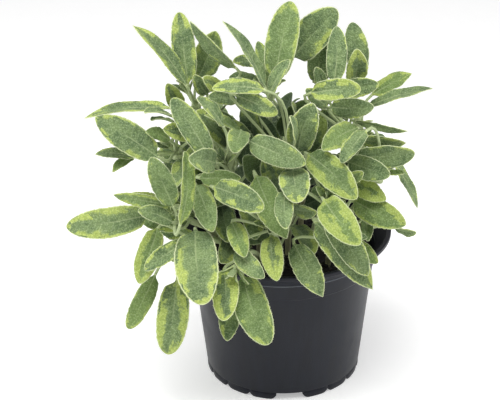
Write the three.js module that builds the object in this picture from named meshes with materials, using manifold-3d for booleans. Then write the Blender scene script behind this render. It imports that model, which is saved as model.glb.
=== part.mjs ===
// A young golden-variegated sage bush in a plain black plastic plant pot.
// Millimetres, +Z up. The pot stands on the plane z = 0 and its front faces -Y.
import * as THREE from 'three';
import { mergeVertices } from 'three/addons/utils/BufferGeometryUtils.js';
import Module from 'manifold-3d';

const wasm = await Module();
wasm.setup();

// Pot: a round, tapering nursery pot 168 mm across its lip, standing on a ring of small feet.
const lipRadius = 84;
const potHeight = 120.4;
const lipDrop = 3.4;
const collarFootRadius = 73;
const collarFootHeight = 107.4;
const stepHeight = 94.5;
const stepDepth = 0.7;
const wallFootRadius = 61.5;
const footHeight = 5.5;
const wallThickness = 1.9;
const floorThickness = 2.2;
const potSides = 36;
const footPlaces = 18;
const footThickness = 2.6;
const footSetBack = 0.5;
const footSink = 1.6;
const footSpread = 1.02;
const footBends = [-1, -0.84, -0.5, 0.5, 0.84, 1];
const footLifts = [0.62, 0.22, 0, 0, 0.22, 0.62];
const wideGapEvery = 6;
const firstGapAngle = THREE.MathUtils.degToRad(-85);
const drainHoleRadius = 5;
const drainHoleRing = 46;

// Soil: fills the pot to a little below the lip.
const soilHeight = 99;
const soilDome = 5;
const soilGap = 0.35;
const stemHoleDepth = 24;

// Stems and leaves.
const stemRadius = 2.3;
const stemSides = 5;
const stemSteps = 9;
const stemHoleRadius = stemRadius + 0.9;
const petioleRadius = 1.1;
const bladeThickness = 1.3;
const bladeBalance = 0.94;
const bladeFullness = 2.2;
const bladeRoundness = 0.48;
const pointSharpness = 0.5;
const usualPoint = 0.35;
const leafAspect = 2.35;
const bladeArch = 0.13;
const bladeFold = 0.2;
const bladeWave = 0.07;
const petioleBend = 0.36;
const stemPull = 0.7;
const petioleDrop = 0.14;
const lowestSeat = 0.12;
const greatestLean = 30;
const layerStep = 14;

// The viewpoint that the leaf places below were read from: a picture 500 pixels wide whose sight line
// runs down at this angle to a point on the pot's axis.
const sightAngle = THREE.MathUtils.degToRad(25.5);
const sightDistance = 1000;
const focalPixels = 1300.6;
const axisPixel = [282.8, 200];
const aimHeight = 142.1;
const towardViewer = new THREE.Vector3(0, -Math.cos(sightAngle), Math.sin(sightAngle));
const pictureUp = new THREE.Vector3(0, Math.sin(sightAngle), Math.cos(sightAngle));

// The bush seen from there is a dome: its middle and reach in the picture, and its depth in millimetres.
const domePixel = [250, 175];
const domeReachPixels = 195;
const domeBack = -10;
const domeDepth = 115;

// Stems: name, root on the soil (x, y), head (x, y, z).
const stems = [
  ['top_left', [-26, 10], [-72, 4, 232]],
  ['top_centre', [-8, 14], [-10, -8, 236]],
  ['top_right', [14, 18], [34, 14, 226]],
  ['right_high', [34, 8], [60, -30, 206]],
  ['right', [44, -6], [74, -44, 186]],
  ['centre', [4, -14], [6, -46, 196]],
  ['centre_left', [-18, -12], [-42, -50, 196]],
  ['left_high', [-40, 2], [-84, -22, 198]],
  ['left', [-44, -16], [-80, -56, 160]],
  ['left_low', [-34, -34], [-72, -84, 142]],
  ['front_low', [-14, -44], [-34, -98, 134]],
  ['front', [-2, -32], [-8, -80, 160]],
  ['front_right', [20, -24], [32, -74, 178]],
  ['right_low', [34, -32], [46, -80, 152]],
  ['back_left', [-28, 34], [-54, 62, 186]],
  ['back_centre', [0, 42], [2, 74, 190]],
  ['back_right', [30, 32], [58, 60, 182]],
];

// Leaves on the side that was seen: stem, foot of the blade and tip in the picture, greatest width in
// pixels, turn about the midrib in degrees, layers below the dome, how much of the blade is lime, and
// how pointed its tip is, where that differs from the usual.
const seenLeaves = [
  ['top_left', [186, 85], [133, 25], 21, 42, 0, 0.45, 1],
  ['top_left', [188, 84], [179, 12], 24, 10, 0.6, 0.5, 0.2],
  ['top_left', [236, 68], [190, 21], 22, -58, 1, 0.2, 1],
  ['top_left', [198, 77], [216, 31], 29, 10, 2, 0.4],
  ['top_left', [180, 106], [167, 84], 18, 10, 1.6, 0.7],
  ['top_left', [210, 158], [172, 98], 25, 8, 0.2, 0.25, 0.2],
  ['top_left', [222, 90], [203, 77], 15, 5, 1.4, 0.6],
  ['top_centre', [265, 88], [223, 20], 19, 54, 0.2, 0.15, 1],
  ['top_centre', [258, 63], [233, 61], 14, 20, 2, 0.6],
  ['top_centre', [267, 86], [258, 41], 16, 20, 1.4, 0.35],
  ['top_centre', [275, 80], [291, 1], 32, 0, 0.2, 0.4, 0.2],
  ['top_centre', [270, 93], [290, 60], 18, -40, 0.4, 0.3],
  ['top_centre', [293, 57], [337, 9], 36, -4, 0.3, 0.3, 0.2],
  ['top_right', [360, 77], [352, 22], 24, 10, 0.5, 0.2, 0.2],
  ['top_right', [354, 82], [357, 49], 22, 5, 1.3, 0.7],
  ['top_right', [334, 83], [337, 26], 21, 6, 0, 0.15],
  ['top_right', [319, 84], [321, 34], 24, 0, 1.9, 0.2],
  ['top_right', [323, 88], [316, 67], 13, 0, 0.8, 0.25],
  ['right_high', [311, 93], [361, 89], 22, -8, -0.5, 0.55, 0],
  ['right_high', [334, 94], [379, 84], 20, 10, 0.5, 0.35],
  ['right_high', [367, 107], [433, 88], 17, -50, 0.2, 0.15, 1],
  ['right_high', [372, 95], [412, 73], 19, -30, 0.8, 0.55, 1],
  ['right_high', [331, 107], [374, 107], 21, 10, 0.6, 0.15],
  ['right', [356, 121], [408, 132], 9, 40, 0.3, 0.2, 1],
  ['right', [358, 138], [406, 143], 20, 50, 0.8, 0.45, 0.8],
  ['right', [357, 156], [415, 153], 26, 30, 0.5, 0.3, 0.2],
  ['right', [349, 162], [390, 175], 24, 10, 0, 0.35, 0.2],
  ['right', [392, 158], [418, 208], 15, -45, 1.2, 0.3, 0.8],
  ['right', [366, 131], [341, 163], 18, 25, -0.2, 0.25],
  ['right', [357, 128], [322, 150], 24, 10, 0.9, 0.35],
  ['centre', [298, 151], [313, 103], 30, 0, 0.7, 0.35],
  ['centre', [294, 147], [290, 116], 18, 72, 0.4, 0.3],
  ['centre_left', [241, 131], [234, 153], 22, 0, 0.2, 0.3, 0.2],
  ['centre_left', [241, 134], [204, 115], 18, 58, 0.4, 0.5, 1],
  ['centre_left', [223, 126], [197, 98], 18, 45, 0.6, 0.3],
  ['centre', [264, 90], [212, 88], 18, 25, 0.1, 0.45],
  ['centre', [262, 84], [229, 77], 16, 40, 2.8, 0.3],
  ['centre', [236, 95], [278, 114], 20, 12, 0.3, 0.5, 0.2],
  ['centre', [276, 116], [246, 112], 20, 20, 3, 0.1],
  ['centre', [249, 141], [306, 164], 27, 0, 0, 0.12],
  ['front_right', [308, 154], [357, 199], 31, 0, -0.4, 0.6],
  ['front', [293, 169], [298, 203], 31, 0, 0.2, 0.35, 0],
  ['front_right', [285, 190], [286, 229], 20, 12, -0.6, 0.15],
  ['front', [256, 175], [287, 239], 29, 0, 1, 0.3, 0.9],
  ['front', [214, 187], [264, 209], 27, 0, -0.1, 0.5, 0.1],
  ['centre_left', [200, 178], [241, 178], 18, 15, 0.7, 0.15],
  ['left', [180, 225], [185, 151], 20, 48, -0.6, 0.5, 0.1],
  ['left', [196, 185], [213, 232], 24, 5, 0.8, 0.15],
  ['front', [232, 223], [245, 257], 20, 0, 0.5, 0.55],
  ['front', [268, 221], [249, 244], 24, 0, 1.8, 0.25],
  ['front', [271, 236], [277, 281], 23, 0, 0.3, 0.95],
  ['front', [236, 250], [264, 278], 20, 5, 0.6, 0.3],
  ['front_low', [243, 276], [268, 345], 35, 0, -0.5, 0.3, 0.1],
  ['front_low', [232, 300], [227, 341], 21, 0, 0.5, 0.5],
  ['front_low', [224, 270], [224, 321], 27, 0, -0.2, 0.85, 0.1],
  ['left_low', [195, 230], [203, 305], 44, 0, -0.5, 0.35, 0.1],
  ['left_low', [155, 275], [128, 329], 20, -12, 0.4, 0.2, 0.1],
  ['left_low', [177, 280], [168, 355], 32, 0, 0.2, 0.55, 0.1],
  ['left_low', [158, 228], [139, 284], 25, 12, 0.5, 0.6, 0.4],
  ['left_low', [186, 242], [144, 270], 19, 20, 0.9, 0.4],
  ['left', [149, 215], [66, 227], 31, 5, 0, 0.45, 0.2],
  ['left', [172, 205], [113, 195], 14, -15, 0.2, 0.4, 0.7],
  ['left', [165, 201], [131, 194], 16, -20, 0.9, 0.5],
  ['left', [172, 222], [138, 210], 18, 20, 1.1, 0.2],
  ['left', [180, 228], [142, 222], 16, 10, 0.9, 0.3],
  ['left_low', [197, 240], [160, 230], 16, 0, 0.6, 0.5],
  ['left_high', [158, 157], [95, 117], 31, 0, -0.1, 0.35, 0.6],
  ['left_high', [170, 108], [84, 118], 20, 52, 0.4, 0.6, 1],
  ['left_high', [134, 157], [95, 154], 16, 45, 1.2, 0.3, 0.8],
  ['left_high', [134, 157], [112, 172], 12, 30, 1.6, 0.2, 1],
  ['left', [173, 206], [151, 157], 24, 0, 0.1, 0.15],
  ['left_high', [196, 133], [163, 129], 20, 5, 1, 0.75],
  ['left_high', [172, 116], [144, 112], 16, 70, 0.8, 0.2],
  ['left_high', [172, 121], [151, 120], 14, 78, 1.2, 0.1],
  ['left_high', [169, 140], [146, 131], 14, 20, 0.8, 0.15],
  ['centre_left', [215, 163], [189, 158], 25, 0, 0.4, 0.15],
  ['right_low', [324, 200], [360, 245], 32, 0, -2.2, 0.85],
  ['right_low', [327, 217], [368, 276], 27, 0, -1.3, 0.25, 0.6],
  ['right_low', [315, 222], [373, 290], 31, 0, -0.4, 0.35, 1],
  ['right_low', [354, 201], [406, 225], 28, 0, 0, 0.6],
  ['right_low', [394, 227], [416, 233], 14, 60, 0.8, 0.2],
  ['right_low', [294, 244], [323, 297], 27, 0, 0.6, 0.3, 1],
  ['right_low', [354, 242], [378, 263], 16, 10, 1.7, 0.4],
  ['right_low', [367, 219], [368, 241], 13, 10, 1.2, 0.1],
  ['front_right', [352, 181], [386, 200], 21, 5, 0.7, 0.9],
  ['front', [293, 208], [317, 212], 16, 30, 1.6, 0.4],
  ['front_right', [337, 190], [311, 192], 18, 10, 1.2, 0.15],
  ['front_right', [351, 178], [363, 172], 13, 10, 0.3, 0.5],
  ['centre', [266, 178], [244, 156], 26, 0, 3, 0.2],
  ['centre', [236, 100], [208, 97], 16, 10, 2, 0.4],
  ['right', [338, 134], [322, 110], 20, 0, 2.6, 0.2],
  ['right_high', [326, 106], [306, 89], 15, 0, 1.6, 0.3],
  ['top_left', [207, 94], [194, 75], 14, 0, 2.2, 0.5],
  ['left', [190, 222], [168, 200], 20, 0, 2.4, 0.3],
  ['centre', [236, 178], [262, 168], 20, 0, 4, 0.1],
];

// Leaves that were not seen follow two rules. Behind the seen leaves stand layers of others, spread in
// the picture by turns of the golden angle. On the far side they spread over shells by the same turns.
const innerLayers = [
  { count: 44, deep: 24, seed: 3 },
  { count: 22, deep: 60, seed: 4 },
];
const innerLeafWidth = [17, 24];
const shells = [
  { count: 96, reach: 1.0, seed: 5 },
  { count: 32, reach: 0.66, seed: 9 },
];
const shellCentre = new THREE.Vector3(-14, 12, 168);
const shellRadii = new THREE.Vector3(94, 104, 88);
const lowestShellHeight = -0.55;
const goldenAngle = Math.PI * (3 - Math.sqrt(5));
const shellLeafWidth = [14, 22];
const coreMiddlePixel = [262, 178];
const coreReachPixels = [112, 96];
const hiddenDepth = 18;

// Least distances kept between sampled points of two leaves, a leaf and a petiole, and a leaf and a stem.
const bladeClearance = 3.2;
const petioleClearance = 2.9;
const stemClearance = 4.3;
const sightShifts = [
  0, 3, -3, 6, -6, 9, -9, 12, -12, 15, -15, 18, -18, 22, -22, 26, -26, 30, -30, 35, -35, 40, -42,
];
const redraws = 30;

// Seams where solids join are tidied up to this distance.
const seamTolerance = 0.02;

const leafGreen = 0x7f9a58;
const leafLime = 0xb4bf62;
const potBlack = 0x2b2e31;
const soilBrown = 0x3a2a1e;

// A small repeatable random source, so that every build gives the same bush.
function randomSource(seed) {
  let state = seed;
  return () => {
    state = (state * 16807) % 2147483647;
    return state / 2147483647;
  };
}

// Turns a mesh into a solid whose shared corners are one point each.
function solidOf(geometry) {
  geometry.deleteAttribute('normal');
  geometry.deleteAttribute('uv');
  const merged = mergeVertices(geometry, 1e-4);
  return new wasm.Manifold(new wasm.Mesh({
    numProp: 3,
    vertProperties: Float32Array.from(merged.attributes.position.array),
    triVerts: Uint32Array.from(merged.index.array),
  }));
}

// A node's mesh, without the slivers that joining solids leaves along their seams.
function meshOf(name, solid, material) {
  const result = solid.simplify(seamTolerance).getMesh();
  const geometry = new THREE.BufferGeometry();
  geometry.setAttribute('position', new THREE.BufferAttribute(result.vertProperties, 3));
  geometry.setIndex(new THREE.BufferAttribute(result.triVerts, 1));
  geometry.computeVertexNormals();
  const mesh = new THREE.Mesh(geometry, material);
  mesh.name = name;
  return mesh;
}

function latheOf(profile, sides) {
  const geometry = new THREE.LatheGeometry(profile.map(([r, z]) => new THREE.Vector2(r, z)), sides);
  geometry.rotateX(Math.PI / 2);
  return geometry;
}

// The pot's wall leans out evenly from its foot to the collar.
function wallRadius(height) {
  const share = (height - footHeight) / (collarFootHeight - footHeight);
  return wallFootRadius + (collarFootRadius - wallFootRadius) * share;
}

function potBody() {
  const innerWall = (height) => wallRadius(height) - wallThickness;
  const profile = [
    [0, footHeight],
    [wallFootRadius - 1.2, footHeight],
    [wallFootRadius, footHeight + 1.2],
    [wallRadius(stepHeight - 1) - stepDepth, stepHeight - 1],
    [wallRadius(stepHeight), stepHeight],
    [collarFootRadius + 0.3, collarFootHeight - 1],
    [collarFootRadius + 1.1, collarFootHeight],
    [lipRadius - 2.6, potHeight - lipDrop - 1.6],
    [lipRadius - 0.3, potHeight - lipDrop],
    [lipRadius, potHeight - lipDrop + 1],
    [lipRadius - 0.4, potHeight - 0.4],
    [lipRadius - 1.6, potHeight],
    [lipRadius - 3.4, potHeight - 0.8],
    [collarFootRadius - wallThickness + 1.1, collarFootHeight + 1.4],
    [innerWall(stepHeight), stepHeight],
    [innerWall(footHeight + floorThickness), footHeight + floorThickness],
    [0, footHeight + floorThickness],
  ];
  return solidOf(latheOf(profile, potSides));
}

// One foot: a short block bent round the pot's edge, flat below in its middle and rounded up at both
// ends. Neighbouring feet run into each other, which leaves a small notch between them.
function potFoot(angle, spread) {
  const lastColumn = footBends.length - 1;
  const block = new THREE.BoxGeometry(2, 1, 1, lastColumn, 1, 1);
  const place = block.attributes.position;
  for (let i = 0; i < place.count; i += 1) {
    const column = Math.round((place.getX(i) + 1) / 2 * lastColumn);
    const outer = place.getY(i) > 0;
    const upper = place.getZ(i) > 0;
    const turn = angle - footBends[column] * spread / 2;
    const radius = wallFootRadius - footSetBack - (outer ? 0 : footThickness);
    const height = upper ? footHeight + footSink : footLifts[column] * footHeight;
    place.setXYZ(i, radius * Math.cos(turn), radius * Math.sin(turn), height);
  }
  return solidOf(block);
}

function makePot() {
  const pitch = 2 * Math.PI / footPlaces;
  let pot = potBody();
  for (let place = 0; place < footPlaces; place += 1) {
    if (place % wideGapEvery !== 0) {
      pot = pot.add(potFoot(firstGapAngle + place * pitch, pitch * footSpread));
    }
  }
  for (let place = 0; place < footPlaces; place += wideGapEvery / 2) {
    const angle = firstGapAngle + place * pitch;
    const drill = new THREE.CylinderGeometry(drainHoleRadius, drainHoleRadius, 4 * floorThickness, 10);
    drill.rotateX(Math.PI / 2);
    drill.translate(drainHoleRing * Math.cos(angle), drainHoleRing * Math.sin(angle), footHeight);
    pot = pot.subtract(solidOf(drill));
  }
  return pot;
}

function soilTop(x, y) {
  const out = Math.hypot(x, y) / collarFootRadius;
  const lumps = 1.1 * Math.sin(x * 0.21 + 1.3) * Math.cos(y * 0.19) + 0.7 * Math.sin(x * 0.13 - y * 0.34);
  return soilHeight + soilDome * (1 - out * out) + lumps * (1 - out ** 6);
}

function makeSoil() {
  const sides = 24;
  const bottom = footHeight + floorThickness + soilGap;
  const rim = wallRadius(stepHeight) - wallThickness - soilGap - 0.35;
  const profile = [
    [0, bottom],
    [wallRadius(bottom) - wallThickness - soilGap - 0.35, bottom],
    [rim, stepHeight],
    [rim, soilHeight - 1],
    [rim * 0.66, soilHeight],
    [rim * 0.33, soilHeight],
    [0, soilHeight],
  ];
  const geometry = latheOf(profile, sides);
  const place = geometry.attributes.position;
  for (let i = 0; i < place.count; i += 1) {
    if (place.getZ(i) > stepHeight + 0.01) {
      place.setZ(i, soilTop(place.getX(i), place.getY(i)));
    }
  }
  let soil = solidOf(geometry);
  for (const [, [x, y]] of stems) {
    const hole = new THREE.CylinderGeometry(stemHoleRadius, stemHoleRadius, 2 * stemHoleDepth, 6);
    hole.rotateX(Math.PI / 2);
    hole.translate(x, y, soilHeight + soilDome / 2);
    soil = soil.subtract(solidOf(hole));
  }
  return soil;
}

// Places in the picture. A point is found from its pixel and how near it is to the viewer.
function pixelPoint([column, row], near) {
  const depth = sightDistance - near;
  const across = (column - axisPixel[0]) * depth / focalPixels;
  const up = (axisPixel[1] - row) * depth / focalPixels;
  return new THREE.Vector3(across, 0, aimHeight)
    .addScaledVector(pictureUp, up)
    .addScaledVector(towardViewer, near);
}

function pixelOf(point) {
  const offset = point.clone().sub(new THREE.Vector3(0, 0, aimHeight));
  const near = offset.dot(towardViewer);
  const scale = focalPixels / (sightDistance - near);
  return { column: axisPixel[0] + offset.x * scale, row: axisPixel[1] - offset.dot(pictureUp) * scale, near };
}

function domeNear(column, row) {
  const across = (column - domePixel[0]) / domeReachPixels;
  const down = (row - domePixel[1]) / domeReachPixels;
  return domeBack + domeDepth * Math.sqrt(Math.max(0, 1 - across * across - down * down));
}

// A stem leaves its hole straight up and bends over to its head.
function stemCurve([, [x, y], head]) {
  const tip = new THREE.Vector3(...head);
  const soilPoint = new THREE.Vector3(x, y, soilHeight);
  const rise = tip.z - soilHeight;
  const curve = new THREE.CurvePath();
  curve.add(new THREE.LineCurve3(new THREE.Vector3(x, y, soilHeight - stemHoleDepth + 8), soilPoint));
  curve.add(new THREE.CubicBezierCurve3(
    soilPoint,
    new THREE.Vector3(x, y, soilHeight + Math.max(26, rise * 0.45)),
    new THREE.Vector3(
      tip.x * 0.72 + x * 0.28,
      tip.y * 0.72 + y * 0.28,
      tip.z + (rise < 50 ? 14 : -rise * 0.22),
    ),
    tip,
  ));
  return curve;
}

// Even shares from 0 to 1.
const sharesOf = (count) => Array.from({ length: count + 1 }, (_, i) => i / count);

// The bent part of a stem, where its leaves sit.
const bentPart = (curve, t) => curve.curves[1].getPoint(t);

function stemRod(curve) {
  const section = new THREE.Shape();
  for (let side = 0; side < stemSides; side += 1) {
    const angle = side * 2 * Math.PI / stemSides;
    const corner = [stemRadius * Math.cos(angle), stemRadius * Math.sin(angle)];
    if (side === 0) {
      section.moveTo(...corner);
    } else {
      section.lineTo(...corner);
    }
  }
  const path = new THREE.CatmullRomCurve3([
    curve.curves[0].getPoint(0),
    curve.curves[0].getPoint(0.5),
    ...sharesOf(8).map((share) => bentPart(curve, share)),
  ]);
  const along = { steps: stemSteps, bevelEnabled: false, extrudePath: path };
  return solidOf(new THREE.ExtrudeGeometry(section, along));
}

// A leaf: its petiole leaves the stem between the stem's own direction and the way to the blade, and
// bends into the blade's midrib. Its share of lime shows in the colour of its stem's node.
function makeLeaf(stem, foot, tip, facing, width, lime, point) {
  const length = foot.distanceTo(tip);
  const along = tip.clone().sub(foot).normalize();
  const face = facing.clone().addScaledVector(along, -facing.dot(along)).normalize();
  const middle = foot.clone().add(tip).multiplyScalar(0.5).addScaledVector(face, length * bladeArch);
  const blade = new THREE.QuadraticBezierCurve3(foot, middle, tip);
  let nearest = 0;
  for (const share of sharesOf(24)) {
    if (bentPart(stem.curve, share).distanceTo(foot) < bentPart(stem.curve, nearest).distanceTo(foot)) {
      nearest = share;
    }
  }
  const seat = Math.max(lowestSeat, nearest - petioleDrop);
  const root = bentPart(stem.curve, seat);
  const reach = root.distanceTo(foot) * petioleBend;
  const onward = bentPart(stem.curve, Math.min(1, seat + 0.05)).sub(root).normalize();
  const grow = foot.clone().sub(root).normalize().addScaledVector(onward, stemPull).normalize();
  const enter = middle.clone().sub(foot).normalize();
  const petiole = new THREE.CubicBezierCurve3(
    root,
    root.clone().addScaledVector(grow, reach),
    foot.clone().addScaledVector(enter, -reach),
    foot,
  );
  return { stem, petiole, blade, face, width, lime, point };
}

// Half the blade's width at a share s of its length. The blade is oblong, with a blunt foot that starts
// from the petiole and a tip that is round or pointed.
function bladeHalfWidth(leaf, s) {
  const least = petioleRadius * (s < 0.5 ? 1 : 1.6);
  const fromMiddle = 1 - 2 * s ** bladeBalance;
  const roundness = bladeRoundness + (fromMiddle < 0 ? pointSharpness * leaf.point : 0);
  return Math.max(least, leaf.width / 2 * (1 - Math.abs(fromMiddle) ** bladeFullness) ** roundness);
}

// Where each row of the leaf's mesh lies: share of the petiole, then share of the blade.
const petioleRows = [0, 0.5];
const bladeRows = [0, 0.12, 0.36, 0.64, 0.88, 1];

function leafRows(leaf, petioleShares, bladeShares) {
  const centres = [
    ...petioleShares.map((t) => leaf.petiole.getPoint(t)),
    ...bladeShares.map((s) => leaf.blade.getPoint(s)),
  ];
  const tangents = [
    ...petioleShares.map((t) => leaf.petiole.getTangent(t)),
    ...bladeShares.map((s) => leaf.blade.getTangent(s)),
  ];
  const faces = [];
  const footRow = petioleShares.length;
  let face = leaf.face;
  for (let row = footRow; row < centres.length; row += 1) {
    face = face.clone().addScaledVector(tangents[row], -face.dot(tangents[row])).normalize();
    faces[row] = face;
  }
  face = faces[footRow];
  for (let row = footRow - 1; row >= 0; row -= 1) {
    face = face.clone().addScaledVector(tangents[row], -face.dot(tangents[row])).normalize();
    faces[row] = face;
  }
  return centres.map((centre, row) => ({
    centre,
    face: faces[row],
    side: faces[row].clone().cross(tangents[row]),
    s: row < footRow ? -1 : bladeShares[row - footRow],
    half: row < footRow ? petioleRadius : bladeHalfWidth(leaf, bladeShares[row - footRow]),
  }));
}

function leafSolid(leaf) {
  const rows = leafRows(leaf, petioleRows, bladeRows);
  const steps = rows.length - 1;
  const rod = new THREE.CylinderGeometry(1, 1, 1, 4, steps);
  const place = rod.attributes.position;
  for (let i = 0; i < place.count; i += 1) {
    const row = Math.round((0.5 - place.getY(i)) * steps);
    const { centre, face, side, s, half } = rows[row];
    const across = place.getX(i);
    const up = place.getZ(i);
    const onBlade = s > 0 && s < 1;
    const thick = onBlade ? bladeThickness / 2 : petioleRadius * (s === 1 ? 0.5 : 1);
    const wave = (row % 2 === 0 ? 1 : -1) * Math.sign(across) * bladeWave;
    const lift = onBlade ? Math.abs(across) * half * (bladeFold + wave) : 0;
    const point = centre.clone()
      .addScaledVector(side, across * half)
      .addScaledVector(face, up * thick + lift);
    place.setXYZ(i, point.x, point.y, point.z);
  }
  rod.setIndex(sameSplitIndex(steps));
  return solidOf(rod);
}

// Triangles of a four-sided rod whose upper and under faces are split along the same diagonals, so that
// they stay apart where the blade waves. The end caps keep the rod's own fans.
function sameSplitIndex(steps) {
  const columns = 5;
  const index = [];
  for (let side = 0; side < 4; side += 1) {
    for (let row = 0; row < steps; row += 1) {
      const a = row * columns + side;
      const b = a + columns;
      const c = b + 1;
      const d = a + 1;
      if (side % 2 === 1) {
        index.push(a, b, c, a, c, d);
      } else {
        index.push(a, b, d, b, c, d);
      }
    }
  }
  const plain = new THREE.CylinderGeometry(1, 1, 1, 4, steps).index.array;
  index.push(...plain.slice(4 * steps * 6));
  return index;
}

// Points sampled evenly on the solid's own rows, used to keep leaves clear of each other.
const petioleSteps = 12;
const bladeSteps = 3;
const sampledAcross = sharesOf(6).map((share) => 2 * share - 1);

function leafSamples(leaf) {
  const rows = leafRows(leaf, petioleRows, bladeRows);
  const blade = [];
  const petiole = [];
  for (let row = 0; row < rows.length - 1; row += 1) {
    const here = rows[row];
    const next = rows[row + 1];
    const onBlade = here.s >= 0;
    for (const share of sharesOf(onBlade ? bladeSteps : petioleSteps)) {
      const centre = here.centre.clone().lerp(next.centre, share);
      if (onBlade) {
        const half = here.half + (next.half - here.half) * share;
        const side = here.side.clone().lerp(next.side, share);
        const face = here.face.clone().lerp(next.face, share);
        for (const across of sampledAcross) {
          blade.push(centre.clone()
            .addScaledVector(side, across * half)
            .addScaledVector(face, Math.abs(across) * half * bladeFold));
        }
      } else {
        petiole.push(centre);
      }
    }
  }
  const middle = leaf.blade.getPoint(0.5);
  const radius = Math.max(...blade.concat(petiole).map((point) => point.distanceTo(middle)));
  return { blade, petiole, middle, radius, stem: leaf.stem };
}

const anyCloser = (some, others, least) => some.some((a) => others.some((b) => a.distanceTo(b) < least));

function isClear(samples, placed, stemSamples) {
  for (const other of placed) {
    if (samples.middle.distanceTo(other.middle) < samples.radius + other.radius + bladeClearance) {
      if (anyCloser(samples.blade, other.blade, bladeClearance)
        || anyCloser(samples.blade, other.petiole, petioleClearance)
        || anyCloser(samples.petiole, other.blade, petioleClearance)
        || (other.stem !== samples.stem && anyCloser(samples.petiole, other.petiole, petioleClearance))) {
        return false;
      }
    }
  }
  for (const { stem, points } of stemSamples) {
    if (anyCloser(samples.blade, points, stemClearance)
      || (stem !== samples.stem && anyCloser(samples.petiole, points, stemClearance))) {
      return false;
    }
  }
  return true;
}

const isAbovePot = (samples) => samples.blade.concat(samples.petiole).every((point) => {
  const out = Math.hypot(point.x, point.y);
  return point.z > potHeight + 4 || out > lipRadius + 4 || (out < lipRadius - 8 && point.z > soilHeight + 10);
});

// A seen leaf, moved by some millimetres along the sight line, which leaves its picture as it is.
function seenLeaf(row, stem, shift) {
  const [, foot, tip, widest, turn, layer, lime, point = usualPoint] = row;
  const near = domeNear((foot[0] + tip[0]) / 2, (foot[1] + tip[1]) / 2) - layer * layerStep + shift;
  const pixelSize = (sightDistance - near) / focalPixels;
  const width = widest * pixelSize;
  const seenLength = Math.hypot(tip[0] - foot[0], tip[1] - foot[1]) * pixelSize;
  const fullLength = Math.max(seenLength, Math.min(width * leafAspect, seenLength * 2));
  const lean = Math.min(greatestLean, Math.sqrt(fullLength ** 2 - seenLength ** 2));
  const footPoint = pixelPoint(foot, near - lean / 2);
  const tipPoint = pixelPoint(tip, near + lean / 2);
  const along = tipPoint.clone().sub(footPoint).normalize();
  const facing = towardViewer.clone().applyAxisAngle(along, THREE.MathUtils.degToRad(turn));
  return makeLeaf(stem, footPoint, tipPoint, facing, width, lime, point);
}

function nearestStem(stemList, point) {
  let stem = stemList[0];
  for (const other of stemList) {
    if (other.head.distanceTo(point) < stem.head.distanceTo(point)) {
      stem = other;
    }
  }
  return stem;
}

// A leaf of the inner layers: it grows up and outward in the picture and turns its face to the viewer.
function innerLeaf(across, down, deep, stemList, random) {
  const column = coreMiddlePixel[0] + across * coreReachPixels[0];
  const row = coreMiddlePixel[1] + down * coreReachPixels[1];
  const width = innerLeafWidth[0] + (innerLeafWidth[1] - innerLeafWidth[0]) * random();
  const length = width * (1.9 + 0.5 * random());
  const near = domeNear(column, row) - deep - 12 * random();
  const grow = new THREE.Vector3(across + 0.9 * (random() - 0.5), 0, 0)
    .addScaledVector(pictureUp, -down * 0.9 + 0.15 + 0.7 * (random() - 0.5))
    .addScaledVector(towardViewer, 0.25 + 0.3 * random())
    .normalize();
  const middle = pixelPoint([column, row], near);
  const foot = middle.clone().addScaledVector(grow, -length / 2);
  const tip = middle.clone().addScaledVector(grow, length / 2);
  const facing = towardViewer.clone().applyAxisAngle(grow, 1.3 * (random() - 0.5));
  return makeLeaf(nearestStem(stemList, foot), foot, tip, facing, width, 0.15 + 0.6 * random(), usualPoint);
}

// A leaf of the shells: it grows outward, upward near the top of the bush and downward lower on it.
function shellLeaf(direction, reach, stemList, random) {
  const width = shellLeafWidth[0] + (shellLeafWidth[1] - shellLeafWidth[0]) * random();
  const length = width * (2.1 + 0.6 * random());
  const rises = direction.z > 0.5 || random() < 0.25;
  const grow = new THREE.Vector3(
    direction.x + 0.5 * (random() - 0.5),
    direction.y + 0.5 * (random() - 0.5),
    direction.z + (rises ? 0.45 : -0.5) + 0.4 * (random() - 0.5),
  ).normalize();
  const tip = shellCentre.clone().add(direction.clone().multiply(shellRadii).multiplyScalar(reach));
  const foot = tip.clone().addScaledVector(grow, -length);
  const tilt = new THREE.Vector3(0.5 * (random() - 0.5), 0.5 * (random() - 0.5), 0.6);
  const facing = direction.clone().add(tilt);
  return makeLeaf(nearestStem(stemList, foot), foot, tip, facing, width, 0.15 + 0.6 * random(), usualPoint);
}

// A shell leaf may only stand behind the leaves that were seen, and inside the bush's dense middle.
const isHidden = (samples) => samples.blade.every((point) => {
  const { column, row, near } = pixelOf(point);
  const across = (column - coreMiddlePixel[0]) / coreReachPixels[0];
  const down = (row - coreMiddlePixel[1]) / coreReachPixels[1];
  return across * across + down * down < 1 && near < domeNear(column, row) - hiddenDepth;
});

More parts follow.
